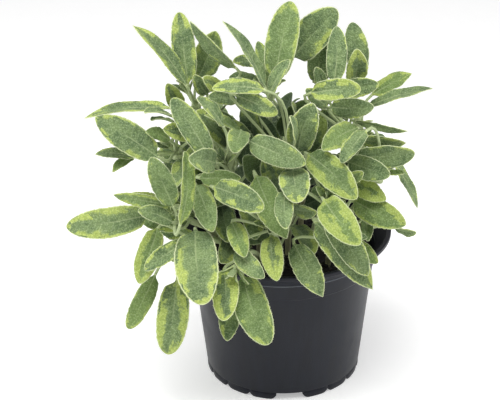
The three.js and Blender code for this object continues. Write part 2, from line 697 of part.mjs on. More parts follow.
function growBush() {
  const stemList = stems.map((row) => ({
    name: row[0],
    curve: stemCurve(row),
    head: new THREE.Vector3(...row[2]),
    leaves: [],
  }));
  const stemSamples = stemList.map((stem) => {
    const points = sharesOf(48).map((share) => bentPart(stem.curve, share));
    return { stem, points };
  });
  const placed = [];
  const keep = (leaf, samples) => {
    leaf.stem.leaves.push(leaf);
    placed.push(samples);
  };
  for (const row of seenLeaves) {
    const stem = stemList.find(({ name }) => name === row[0]);
    for (const shift of sightShifts) {
      const leaf = seenLeaf(row, stem, shift);
      const samples = leafSamples(leaf);
      if (isClear(samples, placed, stemSamples) && isAbovePot(samples)) {
        keep(leaf, samples);
        break;
      }
    }
  }
  for (const { count, deep, seed } of innerLayers) {
    const random = randomSource(seed);
    for (let i = 0; i < count; i += 1) {
      const ring = Math.sqrt((i + 0.5) / count);
      const across = ring * Math.cos(i * goldenAngle);
      const down = ring * Math.sin(i * goldenAngle);
      for (let draw = 0; draw < redraws; draw += 1) {
        const leaf = innerLeaf(across, down, deep + draw * 0.8, stemList, random);
        const samples = leafSamples(leaf);
        if (isHidden(samples) && isAbovePot(samples) && isClear(samples, placed, stemSamples)) {
          keep(leaf, samples);
          break;
        }
      }
    }
  }
  for (const { count, reach, seed } of shells) {
    const random = randomSource(seed);
    for (let i = 0; i < count; i += 1) {
      const height = 1 - (1 - lowestShellHeight) * (i + 0.5) / count;
      const ring = Math.sqrt(1 - height * height);
      const turn = i * goldenAngle;
      const direction = new THREE.Vector3(ring * Math.cos(turn), ring * Math.sin(turn), height);
      for (let draw = 0; draw < redraws; draw += 1) {
        const leaf = shellLeaf(direction, reach * (0.86 + 0.14 * random()), stemList, random);
        const samples = leafSamples(leaf);
        if (isHidden(samples) && isAbovePot(samples) && isClear(samples, placed, stemSamples)) {
          keep(leaf, samples);
          break;
        }
      }
    }
  }
  return stemList;
}

const group = new THREE.Group();
const plastic = new THREE.MeshStandardMaterial({ color: potBlack, roughness: 0.45, metalness: 0 });
const earth = new THREE.MeshStandardMaterial({ color: soilBrown, roughness: 0.95, metalness: 0 });
group.add(meshOf('pot', makePot(), plastic));
group.add(meshOf('soil', makeSoil(), earth));
for (const stem of growBush()) {
  const solids = [stemRod(stem.curve), ...stem.leaves.map(leafSolid)];
  const leafy = wasm.Manifold.union(solids);
  const limeShare = stem.leaves.reduce((sum, leaf) => sum + leaf.lime, 0) / stem.leaves.length;
  const color = new THREE.Color(leafGreen).lerp(new THREE.Color(leafLime), limeShare);
  const leaf = new THREE.MeshStandardMaterial({ color, roughness: 0.8, metalness: 0 });
  group.add(meshOf(`leafy_stem_${stem.name}`, leafy, leaf));
}

// The origin lies on the ground below the middle of the whole bush's outline.
const outline = new THREE.Box3().setFromObject(group);
const middle = outline.getCenter(new THREE.Vector3());
group.position.set(-middle.x, -middle.y, -outline.min.z);

export default group;
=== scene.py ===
# %% [markdown]
# # A potted sage, dressed for its picture
# The construction of this pot and bush is already settled: a frame of plain solids says where the pot,
# the soil and every leafy stem stand. This lesson puts the looks on them. We load the frame first and
# note the pot's box, which gives the pot's axis.

# %% Load the frame
import math
import bpy
import numpy as np
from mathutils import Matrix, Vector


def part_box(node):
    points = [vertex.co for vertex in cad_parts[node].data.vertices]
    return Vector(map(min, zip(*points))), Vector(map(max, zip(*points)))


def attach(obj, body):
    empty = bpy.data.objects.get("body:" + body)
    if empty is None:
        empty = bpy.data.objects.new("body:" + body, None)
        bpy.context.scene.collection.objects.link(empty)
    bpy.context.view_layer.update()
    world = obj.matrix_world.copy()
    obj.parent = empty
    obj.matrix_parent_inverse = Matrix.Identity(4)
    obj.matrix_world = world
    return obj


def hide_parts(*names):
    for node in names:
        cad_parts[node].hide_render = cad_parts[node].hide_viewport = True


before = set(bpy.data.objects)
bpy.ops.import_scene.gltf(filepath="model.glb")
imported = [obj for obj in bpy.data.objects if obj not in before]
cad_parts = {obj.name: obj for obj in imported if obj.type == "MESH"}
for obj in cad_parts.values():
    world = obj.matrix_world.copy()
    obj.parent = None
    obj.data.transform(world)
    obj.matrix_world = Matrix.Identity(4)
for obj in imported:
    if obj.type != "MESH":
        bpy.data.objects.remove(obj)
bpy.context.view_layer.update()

pot_low, pot_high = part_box("pot")
pot_axis = np.array([(pot_low.x + pot_high.x) / 2, (pot_low.y + pot_high.y) / 2, 0.0])
print("frame nodes:", len(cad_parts), "pot axis at", pot_axis.round(4))

# %% [markdown]
# ## Working units
# A pot and its leaves are easier to think about in millimetres, measured from the pot's own axis, while
# the scene is in metres from the frame's origin. One small function turns a list of points from the
# first into the second and makes the mesh, so no object ever needs to be moved afterwards. Values that
# differ from point to point, such as how far a point lies from a leaf's midrib, are stored with the
# mesh, where a material can read them back.

# %% From millimetres to a mesh
METRE = 0.001


def make_piece(name, points, faces, material, values=None):
    """Makes a mesh object from points in millimetres round the pot's axis."""
    mesh = bpy.data.meshes.new(name)
    mesh.from_pydata((np.asarray(points) * METRE + pot_axis).tolist(), [], faces)
    for key, numbers in (values or {}).items():
        store = mesh.attributes.new(key, "FLOAT", "POINT")
        store.data.foreach_set("value", np.asarray(numbers, dtype=np.float32))
    mesh.polygons.foreach_set("use_smooth", [True] * len(mesh.polygons))
    mesh.materials.append(material)
    piece = bpy.data.objects.new(name, mesh)
    bpy.context.scene.collection.objects.link(piece)
    return piece


def loft_faces(rows, columns, first=0, close_ends=True):
    """Quads between rings of points, with a cap on each end."""
    faces = []
    for row in range(rows - 1):
        for column in range(columns):
            here = first + row * columns + column
            beside = first + row * columns + (column + 1) % columns
            faces.append((here, beside, beside + columns, here + columns))
    if close_ends:
        faces.append(tuple(first + column for column in reversed(range(columns))))
        faces.append(tuple(first + (rows - 1) * columns + column for column in range(columns)))
    return faces


# %% [markdown]
# ## A pen for shader maths
# A material is a small computation: take a place on the leaf, ask how far it is from the edge, add some
# irregularity, choose a colour. Wiring that by hand takes dozens of nodes. Instead, one class wraps a
# socket and answers to plus, minus and times, so the maths can be written as it is spoken. Colours are
# mixed by a Mix node, because a Math node would turn them grey.

# %% Sockets that can be added and multiplied
class Value:
    """A socket of a shader that can stand in a sum."""

    def __init__(self, sheet, socket):
        self.sheet = sheet
        self.socket = socket

    def maths(self, operation, *others):
        return self.sheet.put("Math", {"operation": operation}, dict(enumerate((self, *others))))

    def __add__(self, other):
        return self.maths("ADD", other)

    def __sub__(self, other):
        return self.maths("SUBTRACT", other)

    def __mul__(self, other):
        return self.maths("MULTIPLY", other)

    def __rsub__(self, other):
        return self.sheet.put("Math", {"operation": "SUBTRACT"}, {0: other, 1: self})

    __radd__ = __add__

    def between(self, low, high):
        """0 below low, 1 above high, and a smooth rise from one to the other."""
        settings = {"interpolation_type": "SMOOTHSTEP"}
        return self.sheet.put("MapRange", settings, {"Value": self, "From Min": low, "From Max": high})

    def size(self):
        return self.maths("ABSOLUTE")


class Sheet:
    """The nodes of one material."""

    def __init__(self, name):
        self.material = bpy.data.materials.new(name)
        self.material.use_nodes = True
        self.tree = self.material.node_tree
        self.tree.nodes.clear()

    def put(self, kind, settings=None, sockets=None, output=0):
        """Adds a node, sets it up, feeds its sockets and gives one of its outputs."""
        node = self.tree.nodes.new("ShaderNode" + kind)
        for key, setting in (settings or {}).items():
            setattr(node, key, setting)
        for key, fed in (sockets or {}).items():
            if isinstance(fed, Value):
                self.tree.links.new(fed.socket, node.inputs[key])
            else:
                node.inputs[key].default_value = fed
        return None if output is None else Value(self, node.outputs[output])

    def stored(self, name):
        """A number that was stored with the mesh."""
        return self.put("Attribute", {"attribute_name": name}, output="Fac")

    def place(self):
        return self.put("TexCoord", output="Object")

    def vector(self, x, y, z):
        return self.put("CombineXYZ", None, {0: x, 1: y, 2: z})

    def noise(self, vector, scale, detail=2.0, roughness=0.5):
        sockets = {"Vector": vector, "Scale": scale, "Detail": detail, "Roughness": roughness}
        return self.put("TexNoise", None, sockets)

    def mix(self, factor, first, second, blend="MIX"):
        """Mixes two colours."""
        settings = {"data_type": "RGBA", "blend_type": blend, "clamp_factor": True}
        pair = [(*c, 1) if isinstance(c, tuple) else c for c in (first, second)]
        return self.put("Mix", settings, {0: factor, 6: pair[0], 7: pair[1]}, output=2)

    def shaded(self, factor, colour, shade):
        """A colour, darkened by a shade where the factor is high."""
        return self.mix(factor, colour, self.mix(1.0, colour, shade, "MULTIPLY"))

    def bump(self, height, distance, strength):
        return self.put("Bump", None, {"Height": height, "Distance": distance, "Strength": strength})

    def finish(self, **sockets):
        """Ends the sheet with the surface shader."""
        named = {key.replace("_", " "): fed for key, fed in sockets.items()}
        surface = self.put("BsdfPrincipled", None, named)
        self.put("OutputMaterial", None, {"Surface": surface}, output=None)
        return self.material


print("the pen is ready")

# %% [markdown]
# ## The viewpoint
# The picture was taken a little from above: the round rim of the pot looks like a flat ellipse, and how
# flat it is gives the angle. The camera stands that way, at a distance where the lip and the foot ring
# keep their seen proportions. The same numbers turn a pixel of the picture into a place in space, once
# we say how near to the viewer it lies.

# %% The camera and the way back from a pixel
SIGHT_ANGLE = math.radians(25.5)
SIGHT_DISTANCE = 1000.0
FOCAL_PIXELS = 1300.6
PICTURE_WIDTH = 500
AXIS_PIXEL = (282.8, 200.0)
AIM = np.array([0.0, 0.0, 142.1])
TOWARD_VIEWER = np.array([0.0, -math.cos(SIGHT_ANGLE), math.sin(SIGHT_ANGLE)])
PICTURE_UP = np.array([0.0, math.sin(SIGHT_ANGLE), math.cos(SIGHT_ANGLE)])
SENSOR = 36.0


def pixel_point(pixel, near):
    depth = SIGHT_DISTANCE - near
    across = (pixel[0] - AXIS_PIXEL[0]) * depth / FOCAL_PIXELS
    up = (AXIS_PIXEL[1] - pixel[1]) * depth / FOCAL_PIXELS
    return AIM + np.array([across, 0.0, 0.0]) + PICTURE_UP * up + TOWARD_VIEWER * near


def pixel_of(points):
    offset = points - AIM
    near = offset @ TOWARD_VIEWER
    scale = FOCAL_PIXELS / (SIGHT_DISTANCE - near)
    return AXIS_PIXEL[0] + offset[..., 0] * scale, AXIS_PIXEL[1] - (offset @ PICTURE_UP) * scale, near


def add_camera():
    data = bpy.data.cameras.new("camera")
    data.sensor_width = SENSOR
    data.lens = FOCAL_PIXELS / PICTURE_WIDTH * SENSOR
    data.shift_x = (PICTURE_WIDTH / 2 - AXIS_PIXEL[0]) / PICTURE_WIDTH
    camera = bpy.data.objects.new("camera", data)
    camera.location = (AIM + TOWARD_VIEWER * SIGHT_DISTANCE) * METRE + pot_axis
    camera.rotation_euler = (math.pi / 2 - SIGHT_ANGLE, 0, 0)
    bpy.context.scene.collection.objects.link(camera)
    bpy.context.scene.camera = camera
    return camera


camera = add_camera()
print("camera lens", round(camera.data.lens, 1), "mm, shift", round(camera.data.shift_x, 4))

# %% [markdown]
# ## Where the leaves grow
# A sage bush carries its leaves on several soft stems. Those that face the viewer are placed one by one,
# by the two ends of the blade as they were seen. The rest follow a rule: turns of the golden angle, the
# way a sunflower sets its seeds, over layers inside the bush and over shells on its far side. Each leaf
# is then moved or drawn again until it is clear of those already there. The frame's solids were grown by
# the same rule, so our finer leaves land on theirs.

# %% What was seen
STEMS = [  # name, root on the soil, head
    ("top_left", (-26, 10), (-72, 4, 232)),
    ("top_centre", (-8, 14), (-10, -8, 236)),
    ("top_right", (14, 18), (34, 14, 226)),
    ("right_high", (34, 8), (60, -30, 206)),
    ("right", (44, -6), (74, -44, 186)),
    ("centre", (4, -14), (6, -46, 196)),
    ("centre_left", (-18, -12), (-42, -50, 196)),
    ("left_high", (-40, 2), (-84, -22, 198)),
    ("left", (-44, -16), (-80, -56, 160)),
    ("left_low", (-34, -34), (-72, -84, 142)),
    ("front_low", (-14, -44), (-34, -98, 134)),
    ("front", (-2, -32), (-8, -80, 160)),
    ("front_right", (20, -24), (32, -74, 178)),
    ("right_low", (34, -32), (46, -80, 152)),
    ("back_left", (-28, 34), (-54, 62, 186)),
    ("back_centre", (0, 42), (2, 74, 190)),
    ("back_right", (30, 32), (58, 60, 182)),
]

# Leaves on the seen side: stem, foot of the blade and tip in the picture, greatest width in pixels,
# turn about the midrib in degrees, layers below the dome, how much of the blade is lime, and how
# pointed its tip is, where that differs from the usual.
SEEN_LEAVES = [
    ("top_left", (186, 85), (133, 25), 21, 42, 0, 0.45, 1),
    ("top_left", (188, 84), (179, 12), 24, 10, 0.6, 0.5, 0.2),
    ("top_left", (236, 68), (190, 21), 22, -58, 1, 0.2, 1),
    ("top_left", (198, 77), (216, 31), 29, 10, 2, 0.4),
    ("top_left", (180, 106), (167, 84), 18, 10, 1.6, 0.7),
    ("top_left", (210, 158), (172, 98), 25, 8, 0.2, 0.25, 0.2),
    ("top_left", (222, 90), (203, 77), 15, 5, 1.4, 0.6),
    ("top_centre", (265, 88), (223, 20), 19, 54, 0.2, 0.15, 1),
    ("top_centre", (258, 63), (233, 61), 14, 20, 2, 0.6),
    ("top_centre", (267, 86), (258, 41), 16, 20, 1.4, 0.35),
    ("top_centre", (275, 80), (291, 1), 32, 0, 0.2, 0.4, 0.2),
    ("top_centre", (270, 93), (290, 60), 18, -40, 0.4, 0.3),
    ("top_centre", (293, 57), (337, 9), 36, -4, 0.3, 0.3, 0.2),
    ("top_right", (360, 77), (352, 22), 24, 10, 0.5, 0.2, 0.2),
    ("top_right", (354, 82), (357, 49), 22, 5, 1.3, 0.7),
    ("top_right", (334, 83), (337, 26), 21, 6, 0, 0.15),
    ("top_right", (319, 84), (321, 34), 24, 0, 1.9, 0.2),
    ("top_right", (323, 88), (316, 67), 13, 0, 0.8, 0.25),
    ("right_high", (311, 93), (361, 89), 22, -8, -0.5, 0.55, 0),
    ("right_high", (334, 94), (379, 84), 20, 10, 0.5, 0.35),
    ("right_high", (367, 107), (433, 88), 17, -50, 0.2, 0.15, 1),
    ("right_high", (372, 95), (412, 73), 19, -30, 0.8, 0.55, 1),
    ("right_high", (331, 107), (374, 107), 21, 10, 0.6, 0.15),
    ("right", (356, 121), (408, 132), 9, 40, 0.3, 0.2, 1),
    ("right", (358, 138), (406, 143), 20, 50, 0.8, 0.45, 0.8),
    ("right", (357, 156), (415, 153), 26, 30, 0.5, 0.3, 0.2),
    ("right", (349, 162), (390, 175), 24, 10, 0, 0.35, 0.2),
    ("right", (392, 158), (418, 208), 15, -45, 1.2, 0.3, 0.8),
    ("right", (366, 131), (341, 163), 18, 25, -0.2, 0.25),
    ("right", (357, 128), (322, 150), 24, 10, 0.9, 0.35),
    ("centre", (298, 151), (313, 103), 30, 0, 0.7, 0.35),
    ("centre", (294, 147), (290, 116), 18, 72, 0.4, 0.3),
    ("centre_left", (241, 131), (234, 153), 22, 0, 0.2, 0.3, 0.2),
    ("centre_left", (241, 134), (204, 115), 18, 58, 0.4, 0.5, 1),
    ("centre_left", (223, 126), (197, 98), 18, 45, 0.6, 0.3),
    ("centre", (264, 90), (212, 88), 18, 25, 0.1, 0.45),
    ("centre", (262, 84), (229, 77), 16, 40, 2.8, 0.3),
    ("centre", (236, 95), (278, 114), 20, 12, 0.3, 0.5, 0.2),
    ("centre", (276, 116), (246, 112), 20, 20, 3, 0.1),
    ("centre", (249, 141), (306, 164), 27, 0, 0, 0.12),
    ("front_right", (308, 154), (357, 199), 31, 0, -0.4, 0.6),
    ("front", (293, 169), (298, 203), 31, 0, 0.2, 0.35, 0),
    ("front_right", (285, 190), (286, 229), 20, 12, -0.6, 0.15),
    ("front", (256, 175), (287, 239), 29, 0, 1, 0.3, 0.9),
    ("front", (214, 187), (264, 209), 27, 0, -0.1, 0.5, 0.1),
    ("centre_left", (200, 178), (241, 178), 18, 15, 0.7, 0.15),
    ("left", (180, 225), (185, 151), 20, 48, -0.6, 0.5, 0.1),
    ("left", (196, 185), (213, 232), 24, 5, 0.8, 0.15),
    ("front", (232, 223), (245, 257), 20, 0, 0.5, 0.55),
    ("front", (268, 221), (249, 244), 24, 0, 1.8, 0.25),
    ("front", (271, 236), (277, 281), 23, 0, 0.3, 0.95),
    ("front", (236, 250), (264, 278), 20, 5, 0.6, 0.3),
    ("front_low", (243, 276), (268, 345), 35, 0, -0.5, 0.3, 0.1),
    ("front_low", (232, 300), (227, 341), 21, 0, 0.5, 0.5),
    ("front_low", (224, 270), (224, 321), 27, 0, -0.2, 0.85, 0.1),
    ("left_low", (195, 230), (203, 305), 44, 0, -0.5, 0.35, 0.1),
    ("left_low", (155, 275), (128, 329), 20, -12, 0.4, 0.2, 0.1),
    ("left_low", (177, 280), (168, 355), 32, 0, 0.2, 0.55, 0.1),
    ("left_low", (158, 228), (139, 284), 25, 12, 0.5, 0.6, 0.4),
    ("left_low", (186, 242), (144, 270), 19, 20, 0.9, 0.4),
    ("left", (149, 215), (66, 227), 31, 5, 0, 0.45, 0.2),
    ("left", (172, 205), (113, 195), 14, -15, 0.2, 0.4, 0.7),
    ("left", (165, 201), (131, 194), 16, -20, 0.9, 0.5),
    ("left", (172, 222), (138, 210), 18, 20, 1.1, 0.2),
    ("left", (180, 228), (142, 222), 16, 10, 0.9, 0.3),
    ("left_low", (197, 240), (160, 230), 16, 0, 0.6, 0.5),
    ("left_high", (158, 157), (95, 117), 31, 0, -0.1, 0.35, 0.6),
    ("left_high", (170, 108), (84, 118), 20, 52, 0.4, 0.6, 1),
    ("left_high", (134, 157), (95, 154), 16, 45, 1.2, 0.3, 0.8),
    ("left_high", (134, 157), (112, 172), 12, 30, 1.6, 0.2, 1),
    ("left", (173, 206), (151, 157), 24, 0, 0.1, 0.15),
    ("left_high", (196, 133), (163, 129), 20, 5, 1, 0.75),
    ("left_high", (172, 116), (144, 112), 16, 70, 0.8, 0.2),
    ("left_high", (172, 121), (151, 120), 14, 78, 1.2, 0.1),
    ("left_high", (169, 140), (146, 131), 14, 20, 0.8, 0.15),
    ("centre_left", (215, 163), (189, 158), 25, 0, 0.4, 0.15),
    ("right_low", (324, 200), (360, 245), 32, 0, -2.2, 0.85),
    ("right_low", (327, 217), (368, 276), 27, 0, -1.3, 0.25, 0.6),
    ("right_low", (315, 222), (373, 290), 31, 0, -0.4, 0.35, 1),
    ("right_low", (354, 201), (406, 225), 28, 0, 0, 0.6),
    ("right_low", (394, 227), (416, 233), 14, 60, 0.8, 0.2),
    ("right_low", (294, 244), (323, 297), 27, 0, 0.6, 0.3, 1),
    ("right_low", (354, 242), (378, 263), 16, 10, 1.7, 0.4),
    ("right_low", (367, 219), (368, 241), 13, 10, 1.2, 0.1),
    ("front_right", (352, 181), (386, 200), 21, 5, 0.7, 0.9),
    ("front", (293, 208), (317, 212), 16, 30, 1.6, 0.4),
    ("front_right", (337, 190), (311, 192), 18, 10, 1.2, 0.15),
    ("front_right", (351, 178), (363, 172), 13, 10, 0.3, 0.5),
    ("centre", (266, 178), (244, 156), 26, 0, 3, 0.2),
    ("centre", (236, 100), (208, 97), 16, 10, 2, 0.4),
    ("right", (338, 134), (322, 110), 20, 0, 2.6, 0.2),
    ("right_high", (326, 106), (306, 89), 15, 0, 1.6, 0.3),
    ("top_left", (207, 94), (194, 75), 14, 0, 2.2, 0.5),
    ("left", (190, 222), (168, 200), 20, 0, 2.4, 0.3),
    ("centre", (236, 178), (262, 168), 20, 0, 4, 0.1),
]
print(len(STEMS), "stems,", len(SEEN_LEAVES), "seen leaves")

# %% The rule's own sizes, in millimetres unless they say otherwise
POT_HEIGHT = 120.4
LIP_RADIUS = 84.0
SOIL_HEIGHT = 99.0
STEM_RADIUS = 2.3
PETIOLE_RADIUS = 1.1
BLADE_BALANCE = 0.94
BLADE_FULLNESS = 2.2
BLADE_ROUNDNESS = 0.48
POINT_SHARPNESS = 0.5
USUAL_POINT = 0.35
LEAF_ASPECT = 2.35
BLADE_ARCH = 0.13
BLADE_FOLD = 0.2
PETIOLE_BEND = 0.36
PETIOLE_DROP = 0.14
LOWEST_SEAT = 0.12
STEM_PULL = 0.7
GREATEST_LEAN = 30.0
LAYER_STEP = 14.0
DOME_PIXEL = (250, 175)
DOME_REACH = 195
DOME_BACK = -10
DOME_DEPTH = 115
INNER_LAYERS = [(44, 24, 3), (22, 60, 4)]
SHELLS = [(96, 1.0, 5), (32, 0.66, 9)]
SHELL_CENTRE = np.array([-14.0, 12.0, 168.0])
SHELL_RADII = np.array([94.0, 104.0, 88.0])
LOWEST_SHELL = -0.55
GOLDEN_ANGLE = math.pi * (3 - math.sqrt(5))
CORE_PIXEL = (262, 178)
CORE_REACH = (112, 96)
HIDDEN_DEPTH = 18
BLADE_CLEARANCE = 3.2
PETIOLE_CLEARANCE = 2.9
STEM_CLEARANCE = 4.3
SIGHT_SHIFTS = [
    0, 3, -3, 6, -6, 9, -9, 12, -12, 15, -15, 18, -18, 22, -22, 26, -26, 30, -30, 35, -35, 40, -42,
]
REDRAWS = 30
REDRAW_STEP = 0.8
LOW_RISE = 50
LOW_STEM_EASE = 14
TALL_STEM_EASE = 0.22
LEAST_UPRIGHT = 26
UPRIGHT_SHARE = 0.45
STEM_SAMPLES = 49
SEAT_PLACES = 24
LIP_MARGIN = 4
INSIDE_MARGIN = 8
SOIL_MARGIN = 10
BEND_TOWARD_HEAD = 0.72
ONWARD_STEP = 0.05
TIP_THICKENING = 1.6
MOST_FORESHORTENED = 2
# Of a grown leaf, a pair says the least value and how much a draw may add to it.
INNER_WIDTH = (17, 7)
INNER_ASPECT = (1.9, 0.5)
INNER_DEPTH = 12
INNER_SIDEWAYS = 0.9
INNER_OUTWARD = 0.9
INNER_RISE = 0.15
INNER_WANDER = 0.7
INNER_TOWARD = (0.25, 0.3)
INNER_TURN = 1.3
SHELL_WIDTH = (14, 8)
SHELL_ASPECT = (2.1, 0.6)
SHELL_SHARE = (0.86, 0.14)
RISING_ABOVE = 0.5
RISING_SHARE = 0.25
SHELL_RISE = 0.45
SHELL_DROOP = -0.5
SHELL_NOD = 0.4
SHELL_SWAY = 0.5
SHELL_UPWARD = 0.6
GROWN_LIME = (0.15, 0.6)


def random_source(seed):
    """The same small random source that grew the frame's solids."""
    state = seed
    while True:
        state = (state * 16807) % 2147483647
        yield state / 2147483647


def drawn(draw, least, span):
    """A drawn number from least to least plus span."""
    return least + span * next(draw)


def either_way(draw, span):
    """A drawn number up to half the span below or above zero."""
    return span * (next(draw) - 0.5)


def unit(vector):
    return vector / math.sqrt(vector @ vector)


def part_way(start, end, share):
    return start * (1 - share) + end * share


def turned(vector, axis, angle):
    """A vector turned about an axis."""
    return (vector * math.cos(angle) + np.cross(axis, vector) * math.sin(angle)
            + axis * (axis @ vector) * (1 - math.cos(angle)))


class Bend:
    """A Bezier curve through its first and last points."""

    def __init__(self, *points):
        self.points = [np.asarray(p, dtype=float) for p in points]

    def at(self, t):
        """The point at a share t of the curve, or the points at several shares."""
        t = np.asarray(t, dtype=float)[..., None]
        points = self.points
        while len(points) > 1:
            points = [part_way(a, b, t) for a, b in zip(points, points[1:])]
        return points[0]

    def direction(self, t):
        small = 0.0001
        run = self.at(np.minimum(1, np.add(t, small))) - self.at(np.maximum(0, np.subtract(t, small)))
        return run / np.linalg.norm(run, axis=-1, keepdims=True)


def dome_near(column, row):
    across = (column - DOME_PIXEL[0]) / DOME_REACH
    down = (row - DOME_PIXEL[1]) / DOME_REACH
    return DOME_BACK + DOME_DEPTH * np.sqrt(np.maximum(0, 1 - across * across - down * down))


def stem_bend(root, head):
    rise = head[2] - SOIL_HEIGHT
    ease = LOW_STEM_EASE if rise < LOW_RISE else -rise * TALL_STEM_EASE
    over = [h * BEND_TOWARD_HEAD + r * (1 - BEND_TOWARD_HEAD) for h, r in zip(head[:2], root)]
    return Bend(
        (*root, SOIL_HEIGHT),
        (*root, SOIL_HEIGHT + max(LEAST_UPRIGHT, rise * UPRIGHT_SHARE)),
        (*over, head[2] + ease),
        head,
    )


class Stem:
    def __init__(self, name, root, head):
        self.name = name
        self.head = np.array(head, dtype=float)
        self.bend = stem_bend(root, head)
        self.near_points = self.bend.at(np.linspace(0, 1, SEAT_PLACES + 1))
        self.samples = self.bend.at(np.linspace(0, 1, STEM_SAMPLES))
        self.leaves = []


print("rule sizes are set")

# %% [markdown]
# ## One leaf
# A sage leaf hangs on a long petiole that runs on as the midrib. We describe both with Bezier curves: the
# petiole leaves the stem a little along the stem and meets the blade without a kink. A frame of
# three directions, along, across and out of the face, is carried down the curve. It is turned no more
# than the curve turns, so the blade doesn't twist by accident.

# %% A leaf's curves and rows
class Leaf:
    def __init__(self, stem, foot, tip, facing, width, lime, point=USUAL_POINT):
        length = math.sqrt((tip - foot) @ (tip - foot))
        along = unit(tip - foot)
        self.face = unit(facing - along * (facing @ along))
        middle = (foot + tip) * 0.5 + self.face * (length * BLADE_ARCH)
        self.blade = Bend(foot, middle, tip)
        nearest = np.linalg.norm(stem.near_points - foot, axis=1).argmin() / SEAT_PLACES
        seat = max(LOWEST_SEAT, nearest - PETIOLE_DROP)
        root = stem.bend.at(seat)
        self.seat = seat
        reach = math.dist(root, foot) * PETIOLE_BEND
        onward = unit(stem.bend.at(min(1, seat + ONWARD_STEP)) - root)
        grow = unit(unit(foot - root) + onward * STEM_PULL)
        enter = unit(middle - foot)
        self.petiole = Bend(root, root + grow * reach, foot - enter * reach, foot)
        self.stem = stem
        self.width = width
        self.length = length
        self.lime = lime
        self.point = point

    def outline(self, s):
        """How wide the blade is at a share s of its length, as a share of its greatest width."""
        from_middle = 1 - 2 * np.power(s, BLADE_BALANCE)
        roundness = BLADE_ROUNDNESS + np.where(from_middle < 0, POINT_SHARPNESS * self.point, 0)
        return np.maximum(0, 1 - np.abs(from_middle) ** BLADE_FULLNESS) ** roundness

    def half_width(self, s):
        """Half the blade's width at a share s of its length."""
        least = PETIOLE_RADIUS * np.where(np.asarray(s) < 0.5, 1, TIP_THICKENING)
        return np.maximum(least, self.width / 2 * self.outline(s))

    def rows(self, petiole_shares, blade_shares):
        """Centre, face and side direction of each row, from the stem to the tip."""
        centres = np.concatenate([self.petiole.at(petiole_shares), self.blade.at(blade_shares)])
        runs = np.concatenate([self.petiole.direction(petiole_shares), self.blade.direction(blade_shares)])
        foot = len(petiole_shares)
        faces = np.empty_like(centres)
        face = self.face
        for row in list(range(foot, len(centres))) + list(range(foot - 1, -1, -1)):
            if row == foot - 1:
                face = faces[foot]
            face = unit(face - runs[row] * (face @ runs[row]))
            faces[row] = face
        return centres, faces, np.cross(faces, runs)


PLAIN_PETIOLE = (0, 0.5)
PLAIN_BLADE = (0, 0.12, 0.36, 0.64, 0.88, 1)
ACROSS = np.linspace(-1, 1, 7)
PETIOLE_STEPS = 12


class Samples:
    """Points spread over the plain leaf of the frame, to keep leaves clear of each other."""

    def __init__(self, leaf):
        centres, faces, sides = leaf.rows(PLAIN_PETIOLE, PLAIN_BLADE)
        foot = len(PLAIN_PETIOLE)
        halves = leaf.half_width(PLAIN_BLADE)
        blade = []
        for row in range(foot, len(centres) - 1):
            for share in (0, 1 / 3, 2 / 3, 1):
                centre = part_way(centres[row], centres[row + 1], share)
                side = part_way(sides[row], sides[row + 1], share)
                face = part_way(faces[row], faces[row + 1], share)
                half = part_way(halves[row - foot], halves[row - foot + 1], share)
                fold = np.abs(ACROSS) * half * BLADE_FOLD
                blade.append(centre + np.outer(ACROSS * half, side) + np.outer(fold, face))
        petiole = []
        for row in range(foot):
            shares = np.linspace(0, 1, PETIOLE_STEPS + 1)[:, None]
            petiole.append(part_way(centres[row], centres[row + 1], shares))
        self.blade = np.concatenate(blade)
        self.petiole = np.concatenate(petiole)
        self.middle = leaf.blade.at(0.5)
        every = np.concatenate([self.blade, self.petiole]) - self.middle
        self.radius = math.sqrt((every * every).sum(1).max())
        self.stem = leaf.stem


def any_closer(some, others, least):
    """Whether any point of one set is closer than that to any point of the other."""
    squares = (some * some).sum(1)[:, None] + (others * others).sum(1) - 2 * some @ others.T
    return bool((squares < least * least).any())


def is_clear(samples, placed, stems):
    middles = np.array([other.middle for other in placed]).reshape(-1, 3)
    gaps = np.linalg.norm(middles - samples.middle, axis=1)
    reaches = np.array([other.radius for other in placed]) + samples.radius + BLADE_CLEARANCE
    for index in np.flatnonzero(gaps < reaches):
        other = placed[index]
        if (any_closer(samples.blade, other.blade, BLADE_CLEARANCE)
                or any_closer(samples.blade, other.petiole, PETIOLE_CLEARANCE)
                or any_closer(samples.petiole, other.blade, PETIOLE_CLEARANCE)
                or (other.stem is not samples.stem
                    and any_closer(samples.petiole, other.petiole, PETIOLE_CLEARANCE))):
            return False
    for stem in stems:
        if (any_closer(samples.blade, stem.samples, STEM_CLEARANCE)
                or (stem is not samples.stem and any_closer(samples.petiole, stem.samples, STEM_CLEARANCE))):
            return False
    return True


def is_above_pot(samples):
    points = np.concatenate([samples.blade, samples.petiole])
    out = np.hypot(points[:, 0], points[:, 1])
    height = points[:, 2]
    inside = (out < LIP_RADIUS - INSIDE_MARGIN) & (height > SOIL_HEIGHT + SOIL_MARGIN)
    return bool(((height > POT_HEIGHT + LIP_MARGIN) | (out > LIP_RADIUS + LIP_MARGIN) | inside).all())


def is_hidden(samples):
    column, row, near = pixel_of(samples.blade)
    across = (column - CORE_PIXEL[0]) / CORE_REACH[0]
    down = (row - CORE_PIXEL[1]) / CORE_REACH[1]
    inside = across * across + down * down < 1
    return bool((inside & (near < dome_near(column, row) - HIDDEN_DEPTH)).all())


# %% [markdown]
# ## The three kinds of leaf
# A seen leaf knows its two ends in the picture, and its slant toward the viewer follows from how much
# shorter it looks than a leaf of its width should be. A leaf of the inner layers grows up and outward in
# the picture. A leaf of the far shells grows outward, upward near the top and downward lower down.

